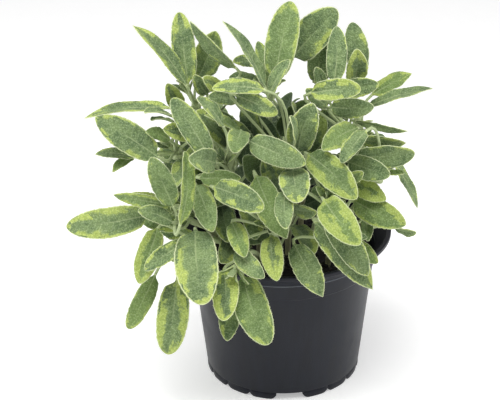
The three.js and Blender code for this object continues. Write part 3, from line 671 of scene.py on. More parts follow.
# %% Growing the bush
def seen_leaf(row, stem, shift):
    _, foot, tip, widest, turn, layer, lime, *point = row
    near = dome_near((foot[0] + tip[0]) / 2, (foot[1] + tip[1]) / 2) - layer * LAYER_STEP + shift
    pixel_size = (SIGHT_DISTANCE - near) / FOCAL_PIXELS
    width = widest * pixel_size
    seen_length = math.hypot(tip[0] - foot[0], tip[1] - foot[1]) * pixel_size
    full_length = max(seen_length, min(width * LEAF_ASPECT, seen_length * MOST_FORESHORTENED))
    lean = min(GREATEST_LEAN, math.sqrt(full_length ** 2 - seen_length ** 2))
    foot_point = pixel_point(foot, near - lean / 2)
    tip_point = pixel_point(tip, near + lean / 2)
    facing = turned(TOWARD_VIEWER, unit(tip_point - foot_point), math.radians(turn))
    return Leaf(stem, foot_point, tip_point, facing, width, lime, *point)


def nearest_stem(stems, point):
    return min(stems, key=lambda stem: math.dist(stem.head, point))


def inner_leaf(across, down, deep, stems, draw):
    column = CORE_PIXEL[0] + across * CORE_REACH[0]
    row = CORE_PIXEL[1] + down * CORE_REACH[1]
    width = drawn(draw, *INNER_WIDTH)
    length = width * drawn(draw, *INNER_ASPECT)
    near = dome_near(column, row) - deep - INNER_DEPTH * next(draw)
    grow = np.array([across + either_way(draw, INNER_SIDEWAYS), 0.0, 0.0])
    grow = grow + PICTURE_UP * (-down * INNER_OUTWARD + INNER_RISE + either_way(draw, INNER_WANDER))
    grow = unit(grow + TOWARD_VIEWER * drawn(draw, *INNER_TOWARD))
    middle = pixel_point((column, row), near)
    foot = middle - grow * (length / 2)
    tip = middle + grow * (length / 2)
    facing = turned(TOWARD_VIEWER, grow, either_way(draw, INNER_TURN))
    return Leaf(nearest_stem(stems, foot), foot, tip, facing, width, drawn(draw, *GROWN_LIME))


def shell_leaf(direction, reach, stems, draw):
    width = drawn(draw, *SHELL_WIDTH)
    length = width * drawn(draw, *SHELL_ASPECT)
    rises = direction[2] > RISING_ABOVE or next(draw) < RISING_SHARE
    sway = [either_way(draw, SHELL_SWAY), either_way(draw, SHELL_SWAY)]
    lift = (SHELL_RISE if rises else SHELL_DROOP) + either_way(draw, SHELL_NOD)
    grow = unit(direction + np.array([*sway, lift]))
    tip = SHELL_CENTRE + direction * SHELL_RADII * reach
    foot = tip - grow * length
    sway = [either_way(draw, SHELL_SWAY), either_way(draw, SHELL_SWAY)]
    facing = direction + np.array([*sway, SHELL_UPWARD])
    return Leaf(nearest_stem(stems, foot), foot, tip, facing, width, drawn(draw, *GROWN_LIME))


def grow_bush():
    stems = [Stem(*row) for row in STEMS]
    placed = []

    def settle(leaf, hidden):
        samples = Samples(leaf)
        if hidden and not is_hidden(samples):
            return False
        if not is_above_pot(samples) or not is_clear(samples, placed, stems):
            return False
        leaf.stem.leaves.append(leaf)
        placed.append(samples)
        return True

    for row in SEEN_LEAVES:
        stem = next(stem for stem in stems if stem.name == row[0])
        any(settle(seen_leaf(row, stem, shift), False) for shift in SIGHT_SHIFTS)
    for count, deep, seed in INNER_LAYERS:
        draw = random_source(seed)
        for i in range(count):
            ring = math.sqrt((i + 0.5) / count)
            across = ring * math.cos(i * GOLDEN_ANGLE)
            down = ring * math.sin(i * GOLDEN_ANGLE)
            any(settle(inner_leaf(across, down, deep + again * REDRAW_STEP, stems, draw), True)
                for again in range(REDRAWS))
    for count, reach, seed in SHELLS:
        draw = random_source(seed)
        for i in range(count):
            height = 1 - (1 - LOWEST_SHELL) * (i + 0.5) / count
            ring = math.sqrt(1 - height * height)
            turn = i * GOLDEN_ANGLE
            direction = np.array([ring * math.cos(turn), ring * math.sin(turn), height])
            any(settle(shell_leaf(direction, reach * drawn(draw, *SHELL_SHARE), stems, draw), True)
                for again in range(REDRAWS))
    return stems, placed


bush, placed_leaves = grow_bush()
print("leaves grown:", len(placed_leaves), [len(stem.leaves) for stem in bush])

# %% [markdown]
# ## A leaf's blade as a surface
# Subdividing a flat outline would leave a paper cut-out. A real sage blade is a thin cushion: its side
# veins pull the upper face down into grooves and the tissue between them swells. We therefore lay the
# rows of the mesh along the side veins, which sweep forward from the midrib, so that every groove runs
# down a row of edges and stays crisp. Columns crowd together at the midrib and at the two edges, where
# the section bends most.

# %% Sizes of the finer leaf, in millimetres
BLADE_THICKNESS = 0.95
ROW_PITCH = 1.05
ROWS_AT_LEAST = 22
ROWS_AT_MOST = 54
PETIOLE_ROWS = 8
COLUMN_PITCH = 1.25
COLUMNS_AT_LEAST = 12
COLUMNS_AT_MOST = 20
FRAME_STEPS = 49
FOOT_SHARE = 0.08
SIDE_VEIN_PITCH = 4.6
VEIN_SWEEP = 0.085
PUCKER = 0.42
GROOVE_DEPTH = 0.42
RIB_DEPTH = 0.85
RIB_REACH = 0.85
EDGE_LIFT = 0.2
EDGE_LIFT_SPREAD = 0.1
EDGE_LIFT_CURVE = 1.4
WAVE_HEIGHT = (0.03, 0.11)
WAVE_CURVE = 2.2
WAVE_TURNS = (1.3, 2.7)
PUCKER_ROUNDNESS = 0.7
PUCKER_LEVEL = 0.6
MOST_NOD = 1.2
NOD_START = 0.75
NOD_EASE = 0.06
GROOVE_FADE = 0.6
RIB_FADE = 0.8
SWEEP_CURVE = 1.3
COLUMN_CROWDING = 0.11
ROW_CROWDING = 0.28
PETIOLE_WAIST = 0.86
PETIOLE_FLARE = 0.5
TIP_FLATNESS = 0.35
RAGGED_EDGE = 0.16
USUAL_SWAY = 0.022
MOST_SWAY = 0.034
TIP_SHARE = 0.03
HAIRS_PER_MM = 1.5
HAIR_START = 2
HAIR_LENGTH = (0.35, 0.85)
HAIR_RADIUS = 0.055
HAIR_ROOT = -0.3
HAIR_THINNING = 0.25
HAIR_LIFT = 0.5
HAIR_TANGLE = 0.35
HAIR_MARK = -1.0
INNER_REACH = (0.54, 1.1)


def smooth_step(x):
    x = np.clip(x, 0, 1)
    return x * x * (3 - 2 * x)


def even_between(number, low, high):
    return 2 * int(round(min(high, max(low, number)) / 2))


def columns_of(count):
    """Places across a blade, from edge to edge over the upper face and back below, and on a round rod."""
    steps = np.linspace(-1, 1, count + 1)
    crowded = steps - COLUMN_CROWDING * np.sin(2 * np.pi * steps)
    around = np.concatenate([steps, steps[-2:0:-1]])
    across = np.concatenate([crowded, crowded[-2:0:-1]])
    upper = np.concatenate([np.ones(count + 1), -np.ones(count - 1)])
    rod = np.stack([np.sin(np.pi / 2 * around), upper * np.cos(np.pi / 2 * around)])
    return across, upper, rod


print("a 40 mm leaf has", int(40 / ROW_PITCH), "rows")

# %% [markdown]
# ## One leaf, from stem to tip
# The petiole is a round rod and the blade a flat lens, and the mesh blends one section into the other
# over the first twelfth of the blade, as the plant does. Small random differences make each leaf its own:
# a wave along either edge, a sideways sway of the midrib, and a margin that is never quite even. The seed
# is the leaf's own number, so every run gives the same bush. Short hairs stand out from both edges. They
# are thin three-sided spikes and not hair curves, because only a mesh is exported.

# %% The leaf mesh
class Patchwork:
    """Collects rings of points into one mesh, with the values stored at each point."""

    def __init__(self):
        self.points = []
        self.faces = []
        self.values = {}
        self.count = 0

    def add(self, rings, **values):
        """Adds a closed loft of rings, an array of rows by columns by three."""
        rows, columns = rings.shape[:2]
        self.points.append(rings.reshape(-1, 3))
        self.faces += loft_faces(rows, columns, self.count)
        for key in STORED:
            numbers = np.broadcast_to(np.asarray(values.get(key, 0.0), dtype=float), (rows, columns))
            self.values.setdefault(key, []).append(numbers.reshape(-1))
        self.count += rows * columns

    def add_spikes(self, corners, **values):
        """Adds many three-sided spikes, an array of spikes by six corners by three, feet first."""
        count = len(corners)
        starts = self.count + 6 * np.arange(count)[:, None]
        for quad in ((0, 1, 4, 3), (1, 2, 5, 4), (2, 0, 3, 5)):
            self.faces += (starts + np.array(quad)).tolist()
        for end in ((2, 1, 0), (3, 4, 5)):
            self.faces += (starts + np.array(end)).tolist()
        self.points.append(corners.reshape(-1, 3))
        for key in STORED:
            self.values.setdefault(key, []).append(np.full(6 * count, float(values.get(key, 0.0))))
        self.count += 6 * count

    def make(self, name, material):
        values = {key: np.concatenate(numbers) for key, numbers in self.values.items()}
        return make_piece(name, np.concatenate(self.points), self.faces, material, values)


# across: -1 to 1 from edge to edge. along: 0 to 1 on the blade, below 0 on the petiole. veins: counts the
# side veins. midrib: millimetres from it. rim: share of the way in from the edge. kind: 0 leaf, 1 stem.
# inner: 0 on the outside of the bush, 1 deep inside it.
STORED = ("across", "along", "veins", "midrib", "rim", "under", "lime", "seed", "kind", "inner")


def blade_heights(leaf, s, across, upper, veins, draw):
    """Height of the upper or under face above the midrib's own line, in millimetres."""
    half = leaf.width / 2 * leaf.outline(s)
    aside = np.abs(across)
    side = np.where(across > 0, 1, 0)
    edge_lift = EDGE_LIFT + draw.uniform(-EDGE_LIFT_SPREAD, EDGE_LIFT_SPREAD)
    lift = half * edge_lift * aside ** EDGE_LIFT_CURVE
    wave = draw.uniform(*WAVE_HEIGHT) * half * aside ** WAVE_CURVE
    turns = draw.uniform(*WAVE_TURNS, 2)[side]
    starts = draw.uniform(0, 2 * np.pi, 2)[side]
    lift = lift + wave * np.sin(2 * np.pi * turns * s + starts)
    swell = np.abs(np.sin(np.pi * (veins + 0.5 * side))) ** PUCKER_ROUNDNESS - PUCKER_LEVEL
    lift = lift + PUCKER * swell * smooth_step(aside * 4) * (1 - aside ** 4) * np.sin(np.pi * s) ** 0.4
    lift = lift - draw.uniform(0, MOST_NOD) * np.maximum(0, s - NOD_START) ** 2 / NOD_EASE
    body = BLADE_THICKNESS / 2 * np.sqrt(np.maximum(0, 1 - aside ** 8))
    reach = aside * half
    groove = GROOVE_DEPTH * (1 - GROOVE_FADE * s) * np.exp(-(reach / RIB_REACH) ** 2)
    rib = RIB_DEPTH * (1 - s) ** RIB_FADE * np.exp(-(reach / RIB_REACH) ** 2)
    return lift + np.where(upper > 0, body - groove, -body - rib)


def depth_inside(points):
    """How deep inside the bush points lie, from 0 on its outside to 1."""
    out = np.linalg.norm((points - SHELL_CENTRE) / SHELL_RADII, axis=-1)
    return 1 - smooth_step((out - INNER_REACH[0]) / (INNER_REACH[1] - INNER_REACH[0]))


def add_leaf(patchwork, leaf, number):
    """Adds one leaf as a closed loft that starts inside the stem and ends at the tip."""
    draw = np.random.default_rng(number)
    rows = even_between(leaf.length / ROW_PITCH, ROWS_AT_LEAST, ROWS_AT_MOST)
    columns = even_between(leaf.width / COLUMN_PITCH, COLUMNS_AT_LEAST, COLUMNS_AT_MOST)
    across, upper, rod = columns_of(columns)
    under = np.where(np.abs(across) > 0.999, 0.5, (1 - upper) / 2)

    petiole_shares = np.arange(PETIOLE_ROWS) / PETIOLE_ROWS
    fine_shares = np.linspace(0, 1, FRAME_STEPS)
    centres, faces, sides = leaf.rows(petiole_shares, fine_shares)
    swelling = PETIOLE_WAIST + (1 - PETIOLE_WAIST) * petiole_shares
    radii = PETIOLE_RADIUS * (swelling + PETIOLE_FLARE * (1 - petiole_shares) ** 6)
    rod_rings = (centres[:PETIOLE_ROWS, None]
                 + sides[:PETIOLE_ROWS, None] * (radii[:, None] * rod[0])[..., None]
                 + faces[:PETIOLE_ROWS, None] * (radii[:, None] * rod[1])[..., None])

    u = np.linspace(0, 1, rows + 1)
    u = ((1 - ROW_CROWDING) * u + ROW_CROWDING * (1 - np.cos(np.pi * u)) / 2)[:, None]
    s = np.clip(u + VEIN_SWEEP * 4 * u * (1 - u) * np.abs(across) ** SWEEP_CURVE, 0, 1)
    veins = u * leaf.length / SIDE_VEIN_PITCH + 0 * s
    uneven = draw.normal(0, 1, (rows + 1, 2))[:, np.where(across > 0, 1, 0)]
    ragged = 1 + RAGGED_EDGE * 2 / leaf.width * uneven
    half = leaf.width / 2 * leaf.outline(s)
    sway = np.clip(draw.normal(0, USUAL_SWAY), -MOST_SWAY, MOST_SWAY) * leaf.length * np.sin(np.pi * s)
    blend = smooth_step(u / FOOT_SHARE)
    thin = smooth_step((1 - u) / TIP_SHARE)
    out = half * across * ragged + sway
    up = blade_heights(leaf, s, across, upper, veins, draw) * (TIP_FLATNESS + (1 - TIP_FLATNESS) * thin)
    out = out * blend + PETIOLE_RADIUS * rod[0] * (1 - blend)
    up = up * blend + PETIOLE_RADIUS * rod[1] * (1 - blend)
    frame_at = [np.stack([np.interp(s, fine_shares, store[PETIOLE_ROWS:, axis]) for axis in range(3)], -1)
                for store in (sides, faces)]
    blade_rings = leaf.blade.at(s) + frame_at[0] * out[..., None] + frame_at[1] * up[..., None]

    tip_gap = (1 - s) * leaf.length / (leaf.width / 2)
    rim = np.minimum((1 - np.abs(across)) * leaf.outline(s), tip_gap)
    on_petiole = np.broadcast_to((petiole_shares - 1)[:, None], (PETIOLE_ROWS, len(across)))
    flat = np.zeros(on_petiole.shape)
    rings = np.concatenate([rod_rings, blade_rings])
    patchwork.add(
        rings,
        across=np.broadcast_to(across, (PETIOLE_ROWS + rows + 1, len(across))),
        along=np.concatenate([on_petiole, s]),
        veins=np.concatenate([flat, veins]),
        midrib=np.concatenate([flat, np.abs(across) * half]),
        rim=np.concatenate([flat + 0.5, rim]),
        under=np.broadcast_to(under, (PETIOLE_ROWS + rows + 1, len(across))),
        lime=leaf.lime,
        seed=draw.uniform(),
        inner=depth_inside(rings),
    )
    for side, column in ((-1, 0), (1, len(across) // 2)):
        spots = draw.uniform(HAIR_START, rows, int(leaf.length * HAIRS_PER_MM))
        low = np.minimum(spots.astype(int), rows - 1)
        share = (spots - low)[:, None]
        edges = part_way(blade_rings[low, column], blade_rings[low + 1, column], share)
        outward = frame_at[0][low, column] * side
        add_hairs(patchwork, edges, outward, frame_at[1][low, column], draw, leaf.lime)


def add_hairs(patchwork, edges, outward, up, draw, seed):
    """Adds one short tapering hair at each given point of a leaf's edge."""
    count = len(edges)
    lean = outward + up * draw.normal(0, HAIR_LIFT, (count, 1)) + draw.normal(0, HAIR_TANGLE, (count, 3))
    lean /= np.linalg.norm(lean, axis=1, keepdims=True)
    flat = np.cross(lean, up)
    flat /= np.linalg.norm(flat, axis=1, keepdims=True)
    tall = np.cross(lean, flat)
    reach = draw.uniform(*HAIR_LENGTH, (count, 1))
    rings = []
    for share, radius in ((HAIR_ROOT, HAIR_RADIUS), (1.0, HAIR_RADIUS * HAIR_THINNING)):
        for turn in np.arange(3) * 2 * np.pi / 3:
            around = (flat * math.cos(turn) + tall * math.sin(turn)) * radius
            rings.append(edges + lean * reach * share + around)
    patchwork.add_spikes(np.stack(rings, 1), rim=HAIR_MARK, seed=seed)


trial = Patchwork()
add_leaf(trial, bush[0].leaves[0], 1)
print("the first leaf has", trial.count, "points and", len(trial.faces), "faces")

# %% [markdown]
# ## Stems and young leaves
# A stem is a round shoot, woody and thick at the soil, green and thin at its head, with a slight knuckle
# where each leaf leaves it. At its head the newest leaves stand in small crossed pairs. We reuse the leaf
# rule for them at a fifth of the size, and leave out any that would touch a grown leaf.

# %% Shoots
STEM_SIDES = 12
STEM_ROWS = 44
STEM_THINNING = 0.42
STEM_ROUGHNESS = 0.02
STEM_END = np.array([0.9, 0.7, 0.35])
KNUCKLE = 0.45
KNUCKLE_REACH = 0.012
STEM_SUNK = 16
STEM_SEED = 1000
SHOOT_SEED = 2000
YOUNG_SEED = 5000
YOUNG_PAIRS = 3
YOUNG_LENGTH = (8, 15)
YOUNG_ASPECT = 0.42
YOUNG_CLEARANCE = 1.7
YOUNG_TWIST = 0.3
YOUNG_SPREAD = (14, 26)
YOUNG_SPREAD_STEP = 14
YOUNG_OUT = 1.2
YOUNG_START = 3
YOUNG_PITCH = 2
YOUNG_CUP = 0.4
YOUNG_LIME = (0.2, 0.5)


def add_stem(patchwork, stem, number):
    draw = np.random.default_rng(STEM_SEED + number)
    t = np.linspace(0, 1, STEM_ROWS)
    centres = stem.bend.at(t)
    below = centres[0] - np.array([0, 0, STEM_SUNK])
    centres = np.concatenate([[below, (below + centres[0]) / 2], centres])
    runs = np.gradient(centres, axis=0)
    runs /= np.linalg.norm(runs, axis=1, keepdims=True)
    share = np.concatenate([[0, 0], t])
    radii = STEM_RADIUS * (1 - STEM_THINNING * share)
    for leaf in stem.leaves:
        radii = radii + KNUCKLE * np.exp(-((share - leaf.seat) / KNUCKLE_REACH) ** 2)
    radii[-len(STEM_END):] *= STEM_END
    side = unit(np.cross(runs[0], [0.3, 1.0, 0.0]))
    rings = []
    turn = np.arange(STEM_SIDES) * 2 * np.pi / STEM_SIDES
    for centre, run, radius in zip(centres, runs, radii):
        side = unit(side - run * (side @ run))
        rough = radius * (1 + draw.normal(0, STEM_ROUGHNESS, STEM_SIDES))[:, None]
        circle = np.outer(np.cos(turn), side) + np.outer(np.sin(turn), np.cross(run, side))
        rings.append(centre + circle * rough)
    rings = np.array(rings)
    inner = depth_inside(rings)
    patchwork.add(rings, along=share[:, None], kind=1, seed=draw.uniform(), rim=0.5, inner=inner)


def young_leaves(stem, number):
    """Small leaves in crossed pairs round the head of a stem."""
    draw = np.random.default_rng(SHOOT_SEED + number)
    up = stem.bend.direction(1.0)
    first = unit(np.cross(up, [0.2, 1.0, 0.1]))
    second = np.cross(up, first)
    for pair in range(YOUNG_PAIRS):
        for side in (1, -1):
            turn = math.pi / 2 * pair + draw.uniform(-YOUNG_TWIST, YOUNG_TWIST)
            out = (first * math.cos(turn) + second * math.sin(turn)) * side
            widening = YOUNG_SPREAD_STEP * (YOUNG_PAIRS - 1 - pair)
            spread = math.radians(draw.uniform(*YOUNG_SPREAD) + widening)
            length = YOUNG_LENGTH[1] - (YOUNG_LENGTH[1] - YOUNG_LENGTH[0]) * pair / (YOUNG_PAIRS - 1)
            grow = up * math.cos(spread) + out * math.sin(spread)
            foot = stem.head + out * YOUNG_OUT - up * (YOUNG_START - YOUNG_PITCH * pair)
            tip = foot + grow * length
            lime = YOUNG_LIME[0] + YOUNG_LIME[1] * draw.uniform()
            yield Leaf(stem, foot, tip, up - out * YOUNG_CUP, length * YOUNG_ASPECT, lime)


def is_free(leaf):
    """Whether a young leaf keeps away from every grown leaf."""
    points = leaf.blade.at(np.linspace(0.2, 1, 6))
    for other in placed_leaves:
        if any_closer(points, other.blade, YOUNG_CLEARANCE + leaf.width / 4):
            return False
    return True


print("each head may carry", 2 * YOUNG_PAIRS, "young leaves")

# %% [markdown]
# ## The colour of sage
# This sage is a golden kind: grey-green in the middle of the blade and lime along its margins. The border
# between the two isn't a smooth line, because each patch of tissue between two side veins has kept its
# own colour. So we number those patches, draw one random number for each, and let it say how far the
# lime reaches in from the edge there. Over the colour lies a felt of short hairs, which makes the skin
# pebbled and matt, pale where it is seen edge on. A sheen on the shader gives that last part. Leaves deep
# inside the bush are darkened by painted shade, and apart from that no two leaves are quite as dark.

# %% Paints
def paint(red, green, blue):
    """A colour as a screen shows it, 0 to 255, in the linear light that a shader expects."""
    return tuple(((c / 255 + 0.055) / 1.055) ** 2.4 for c in (red, green, blue))


SAGE_DEEP = paint(98, 121, 82)
SAGE_MID = paint(142, 163, 110)
SAGE_PALE = paint(192, 206, 160)
SAGE_FRESH = paint(152, 178, 94)
LIME = paint(210, 222, 126)
LIME_DEEP = paint(172, 192, 96)
HAIR_RIM = paint(228, 235, 188)
UNDERSIDE = paint(166, 182, 132)
MIDRIB_PALE = paint(198, 210, 160)
SHOOT_GREEN = paint(170, 184, 134)
SHOOT_WOOD = paint(134, 124, 96)
CREASE_SHADE = (0.36, 0.42, 0.3)
LEAF_SHADE = (0.7, 0.74, 0.72)
INNER_SHADE = (0.22, 0.28, 0.29)
BROAD_SCALE = 95.0
RIPPLE_SCALE = 330.0
CRUMBLE_SCALE = 760.0
PEBBLE_SCALE = 800.0
FLECK_SCALE = 1300.0


def sage_material():
    sheet = Sheet("sage")
    stored = [sheet.stored(name) for name in STORED]
    across, along, veins, midrib, rim, under, lime, seed, kind, inner = stored
    place = sheet.place()
    broad = sheet.noise(place, BROAD_SCALE, 2.0)
    ripple = sheet.noise(place, RIPPLE_SCALE, 2.0)
    crumble = sheet.noise(place, CRUMBLE_SCALE, 2.0, 0.6)
    fleck = sheet.noise(place, FLECK_SCALE, 2.0, 0.6)
    side = across.maths("GREATER_THAN", 0.0)
    patch = (veins * 0.55 + side * 0.5 + ripple * 0.7 + crumble * 0.06).maths("FLOOR")
    ring = (across.size() * 2.0 + ripple * 0.6 + crumble * 0.06).maths("FLOOR")
    spot = sheet.vector(patch + side * 23.0, ring, seed * 97.0)
    pick = sheet.put("TexWhiteNoise", {"noise_dimensions": "3D"}, {"Vector": spot}, "Value")

    reach = lime * 1.1 + (pick - 0.5) * 0.7 + (broad - 0.5) * 1.3 + (crumble - 0.5) * 0.16 - 0.3
    limed = (reach - rim).between(-0.1, 0.14)
    green = sheet.mix((broad * 0.8 + crumble * 0.5 + pick * 0.25).between(0.5, 0.95), SAGE_DEEP, SAGE_MID)
    green = sheet.mix(seed.between(0.6, 0.9) * 0.5, green, SAGE_FRESH)
    gold = sheet.mix(broad * 0.5 + crumble.between(0.3, 0.7) * 0.5, LIME_DEEP, LIME)
    colour = sheet.mix(limed, green, gold)

    pebbles = sheet.put("TexVoronoi", {"feature": "F1"}, {"Vector": place, "Scale": PEBBLE_SCALE}, "Distance")
    crease = pebbles.between(0.3, 0.62)
    # Painted shade: the creases between the pebbles are darkened.
    colour = sheet.shaded(crease * 0.42, colour, CREASE_SHADE)
    felt = fleck.between(0.5, 0.68) * (1 - crease)
    colour = sheet.mix(felt * 0.5, colour, SAGE_PALE)

    vein_gap = ((veins + side * 0.5).maths("FRACT") - 0.5).size()
    vein_line = vein_gap.between(0.40, 0.5) * (1 - across.size().between(0.5, 0.95))
    colour = sheet.mix(vein_line * 0.18, colour, SAGE_PALE)
    rib_line = (1 - midrib.between(0.15, 0.75)) * (1 - along.between(0.25, 0.8)) * (0.4 + ripple)
    colour = sheet.mix(rib_line * 0.42, colour, MIDRIB_PALE)
    back = sheet.mix(limed * 0.5, UNDERSIDE, LIME)
    # Painted shade: on the underside the creases are darkened too.
    back = sheet.mix(crease * 0.35, back, SAGE_MID)
    colour = sheet.mix(under.between(0.45, 0.8) * 0.8, colour, back)
    edge = (1 - rim.between(0.02, 0.085)) * (0.5 + fleck * 0.8)
    colour = sheet.mix(edge * 0.9, colour, HAIR_RIM)
    colour = sheet.shaded(seed.between(0.0, 1.0) * 0.6, colour, LEAF_SHADE)
    # Painted shade: leaves deep inside the bush are darkened.
    colour = sheet.shaded(inner * 0.92, colour, INNER_SHADE)
    petiole = 1 - along.between(-0.06, 0.03)
    colour = sheet.mix(petiole, colour, sheet.mix(fleck * 0.5, SHOOT_GREEN, SAGE_PALE))
    wood = 1 - (along + (ripple - 0.5) * 0.5).between(0.12, 0.5)
    shoot = sheet.mix(wood, SHOOT_GREEN, SHOOT_WOOD)
    colour = sheet.mix(kind, colour, sheet.mix(fleck * 0.5, shoot, SAGE_PALE))
    colour = sheet.mix(rim.maths("LESS_THAN", HAIR_MARK / 2), colour, HAIR_RIM)

    relief = (1 - pebbles) * 0.9 + fleck * 0.4
    return sheet.finish(
        Base_Color=colour,
        Roughness=0.72 + fleck * 0.2,
        Normal=sheet.bump(relief, 0.0007, 0.7),
        Sheen_Weight=0.2,
        Sheen_Roughness=0.45,
        Sheen_Tint=(0.86, 0.93, 0.74, 1),
        Specular_IOR_Level=0.3,
    )


sage = sage_material()
print("the sage material has", len(sage.node_tree.nodes), "nodes")

# %% [markdown]
# ## The leafy stems
# Every leafy stem of the frame is replaced by a finer one in the same place, and all of them share the
# one material. What makes a leaf differ from its neighbour is stored with its points.

# %% Dress the leafy stems
def dress_stems():
    number = 0
    young = 0
    for order, stem in enumerate(bush):
        patchwork = Patchwork()
        add_stem(patchwork, stem, order)
        for leaf in stem.leaves:
            number += 1
            add_leaf(patchwork, leaf, number)
        for leaf in young_leaves(stem, order):
            if is_free(leaf):
                young += 1
                add_leaf(patchwork, leaf, YOUNG_SEED + 10 * order + young)
        node = "leafy_stem_" + stem.name
        piece = patchwork.make("sage_" + stem.name, sage)
        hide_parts(node)
        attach(piece, "root")
        print(piece.name, len(stem.leaves), "leaves,", len(piece.data.polygons), "faces")
    return young


young_count = dress_stems()
print("young leaves:", young_count)

# %% [markdown]
# ## The pot
# The pot is a plain nursery pot, injection moulded in black plastic: a tapering wall with one small step,
# a thin bead at the collar's foot, a collar that flares to a rolled lip, and a ring of short feet with
# gaps between them that let water out. A lathe makes the wall. Its outline is the frame's own with the
# bead added, turned in far more steps, so that the lip reads as round, and its corners get a small radius
# as any moulding has.

# %% The pot's sizes, in millimetres
COLLAR_FOOT_RADIUS = 73.0
COLLAR_FOOT_HEIGHT = 107.4
STEP_HEIGHT = 94.5
STEP_DEPTH = 0.7
WALL_FOOT_RADIUS = 61.5
FOOT_HEIGHT = 5.5
LIP_DROP = 3.4
BEAD_REACH = 0.9
BEAD_DROP = 0.9
BEAD_FOOT_DROP = 1.2
WALL_THICKNESS = 1.9
FLOOR_THICKNESS = 2.2
FLOOR_TOP = FOOT_HEIGHT + FLOOR_THICKNESS
FOOT_PLACES = 18
FOOT_THICKNESS = 2.6
FOOT_SPREAD = 1.02
FOOT_SET_BACK = 0.35
FOOT_SINK = 1.6
FOOT_CORNER = 0.5
FOOT_ROWS = 17
NOTCH_HEIGHT = 3.4
NOTCH_CURVE = 2.6
WIDE_GAP_EVERY = 6
FIRST_GAP_ANGLE = math.radians(-85)
DRAIN_HOLE_RADIUS = 5.0
DRAIN_HOLE_RING = 46.0
DRAIN_HOLE_SIDES = 28
DRILL_PAST = 3
POT_SIDES = 180
CORNER_STEPS = 5
MOST_CUT = 0.45


def wall_radius(height):
    share = (height - FOOT_HEIGHT) / (COLLAR_FOOT_HEIGHT - FOOT_HEIGHT)
    return WALL_FOOT_RADIUS + (COLLAR_FOOT_RADIUS - WALL_FOOT_RADIUS) * share


def inside_radius(height):
    return wall_radius(height) - WALL_THICKNESS


def pot_outline():
    """The pot's section as (radius, height, corner radius), from the middle of the floor and back to it."""
    return [
        (0.0, FOOT_HEIGHT, 0),
        (WALL_FOOT_RADIUS - 0.1, FOOT_HEIGHT, 1.4),
        (wall_radius(STEP_HEIGHT - 1) - STEP_DEPTH, STEP_HEIGHT - 1, 0.25),
        (wall_radius(STEP_HEIGHT), STEP_HEIGHT, 0.3),
        (COLLAR_FOOT_RADIUS - 0.1, COLLAR_FOOT_HEIGHT - BEAD_FOOT_DROP, 0.2),
        (COLLAR_FOOT_RADIUS + BEAD_REACH, COLLAR_FOOT_HEIGHT - BEAD_DROP, 0.3),
        (COLLAR_FOOT_RADIUS + BEAD_REACH, COLLAR_FOOT_HEIGHT, 0.4),
        (COLLAR_FOOT_RADIUS + 0.6, COLLAR_FOOT_HEIGHT + 0.2, 0.2),
        (LIP_RADIUS - 2.6, POT_HEIGHT - LIP_DROP - 1.6, 1.0),
        (LIP_RADIUS - 0.1, POT_HEIGHT - LIP_DROP, 0.5),
        (LIP_RADIUS, POT_HEIGHT, 1.3),
        (LIP_RADIUS - 3.4, POT_HEIGHT - 0.8, 1.0),
        (COLLAR_FOOT_RADIUS - WALL_THICKNESS + 1.1, COLLAR_FOOT_HEIGHT + 1.4, 1.5),
        (inside_radius(STEP_HEIGHT), STEP_HEIGHT, 1.5),
        (inside_radius(FLOOR_TOP), FLOOR_TOP, 2.0),
        (0.0, FLOOR_TOP, 0),
    ]


def rounded(outline):
    """Replaces each corner by a short arc that starts and ends its radius away from the corner."""
    points = [np.array(outline[0][:2])]
    for before, corner, after in zip(outline, outline[1:], outline[2:]):
        here = np.array(corner[:2])
        back = np.array(before[:2]) - here
        ahead = np.array(after[:2]) - here
        cut = min(corner[2], MOST_CUT * np.linalg.norm(back), MOST_CUT * np.linalg.norm(ahead))
        start = here + unit(back) * cut
        end = here + unit(ahead) * cut
        for t in np.linspace(0, 1, CORNER_STEPS):
            points.append(start * (1 - t) ** 2 + here * 2 * t * (1 - t) + end * t * t)
    points.append(np.array(outline[-1][:2]))
    return np.array(points)


def lathe(outline, sides):
    """Turns an outline whose first and last points lie on the axis."""
    turn = np.arange(sides) * 2 * math.pi / sides
    rings = outline[1:-1]
    points = [(r * math.cos(a), r * math.sin(a), z) for r, z in rings for a in turn]
    faces = loft_faces(len(rings), sides, close_ends=False)
    for pole, row, forward in ((outline[0], 0, False), (outline[-1], len(rings) - 1, True)):
        points.append((0.0, 0.0, pole[1]))
        for column in range(sides):
            edge = (row * sides + column, row * sides + (column + 1) % sides)
            faces.append((*(edge if forward else edge[::-1]), len(points) - 1))
    return points, faces


print("outline points:", len(rounded(pot_outline())))

# %% [markdown]
# ## Feet and drain holes
# The feet are a band of short blocks, bent round the wall's foot and rounded at their ends, so that small
# notches stay between them. Three places stay empty, so that the pot drains on a flat floor. Holes in the
# floor are cut with a Boolean modifier, which is then applied, so the pot holds the real mesh.

# %% Mould the pot
def pot_foot(angle, spread):
    """One foot as a loft of four-cornered rings along the pot's edge."""
    rings = []
    outer = WALL_FOOT_RADIUS - FOOT_SET_BACK
    high = FOOT_HEIGHT + FOOT_SINK
    for bend in np.linspace(-1, 1, FOOT_ROWS):
        turn = angle - bend * spread / 2
        low = NOTCH_HEIGHT * max(0.0, 2 * abs(bend) - 1) ** NOTCH_CURVE
        corners = [
            (outer, high),
            (outer, low + FOOT_CORNER),
            (outer - FOOT_CORNER, low),
            (outer - FOOT_THICKNESS + FOOT_CORNER, low),
            (outer - FOOT_THICKNESS, low + FOOT_CORNER),
            (outer - FOOT_THICKNESS, high),
        ]
        rings.append([(r * math.cos(turn), r * math.sin(turn), z) for r, z in corners])
    return np.array(rings)


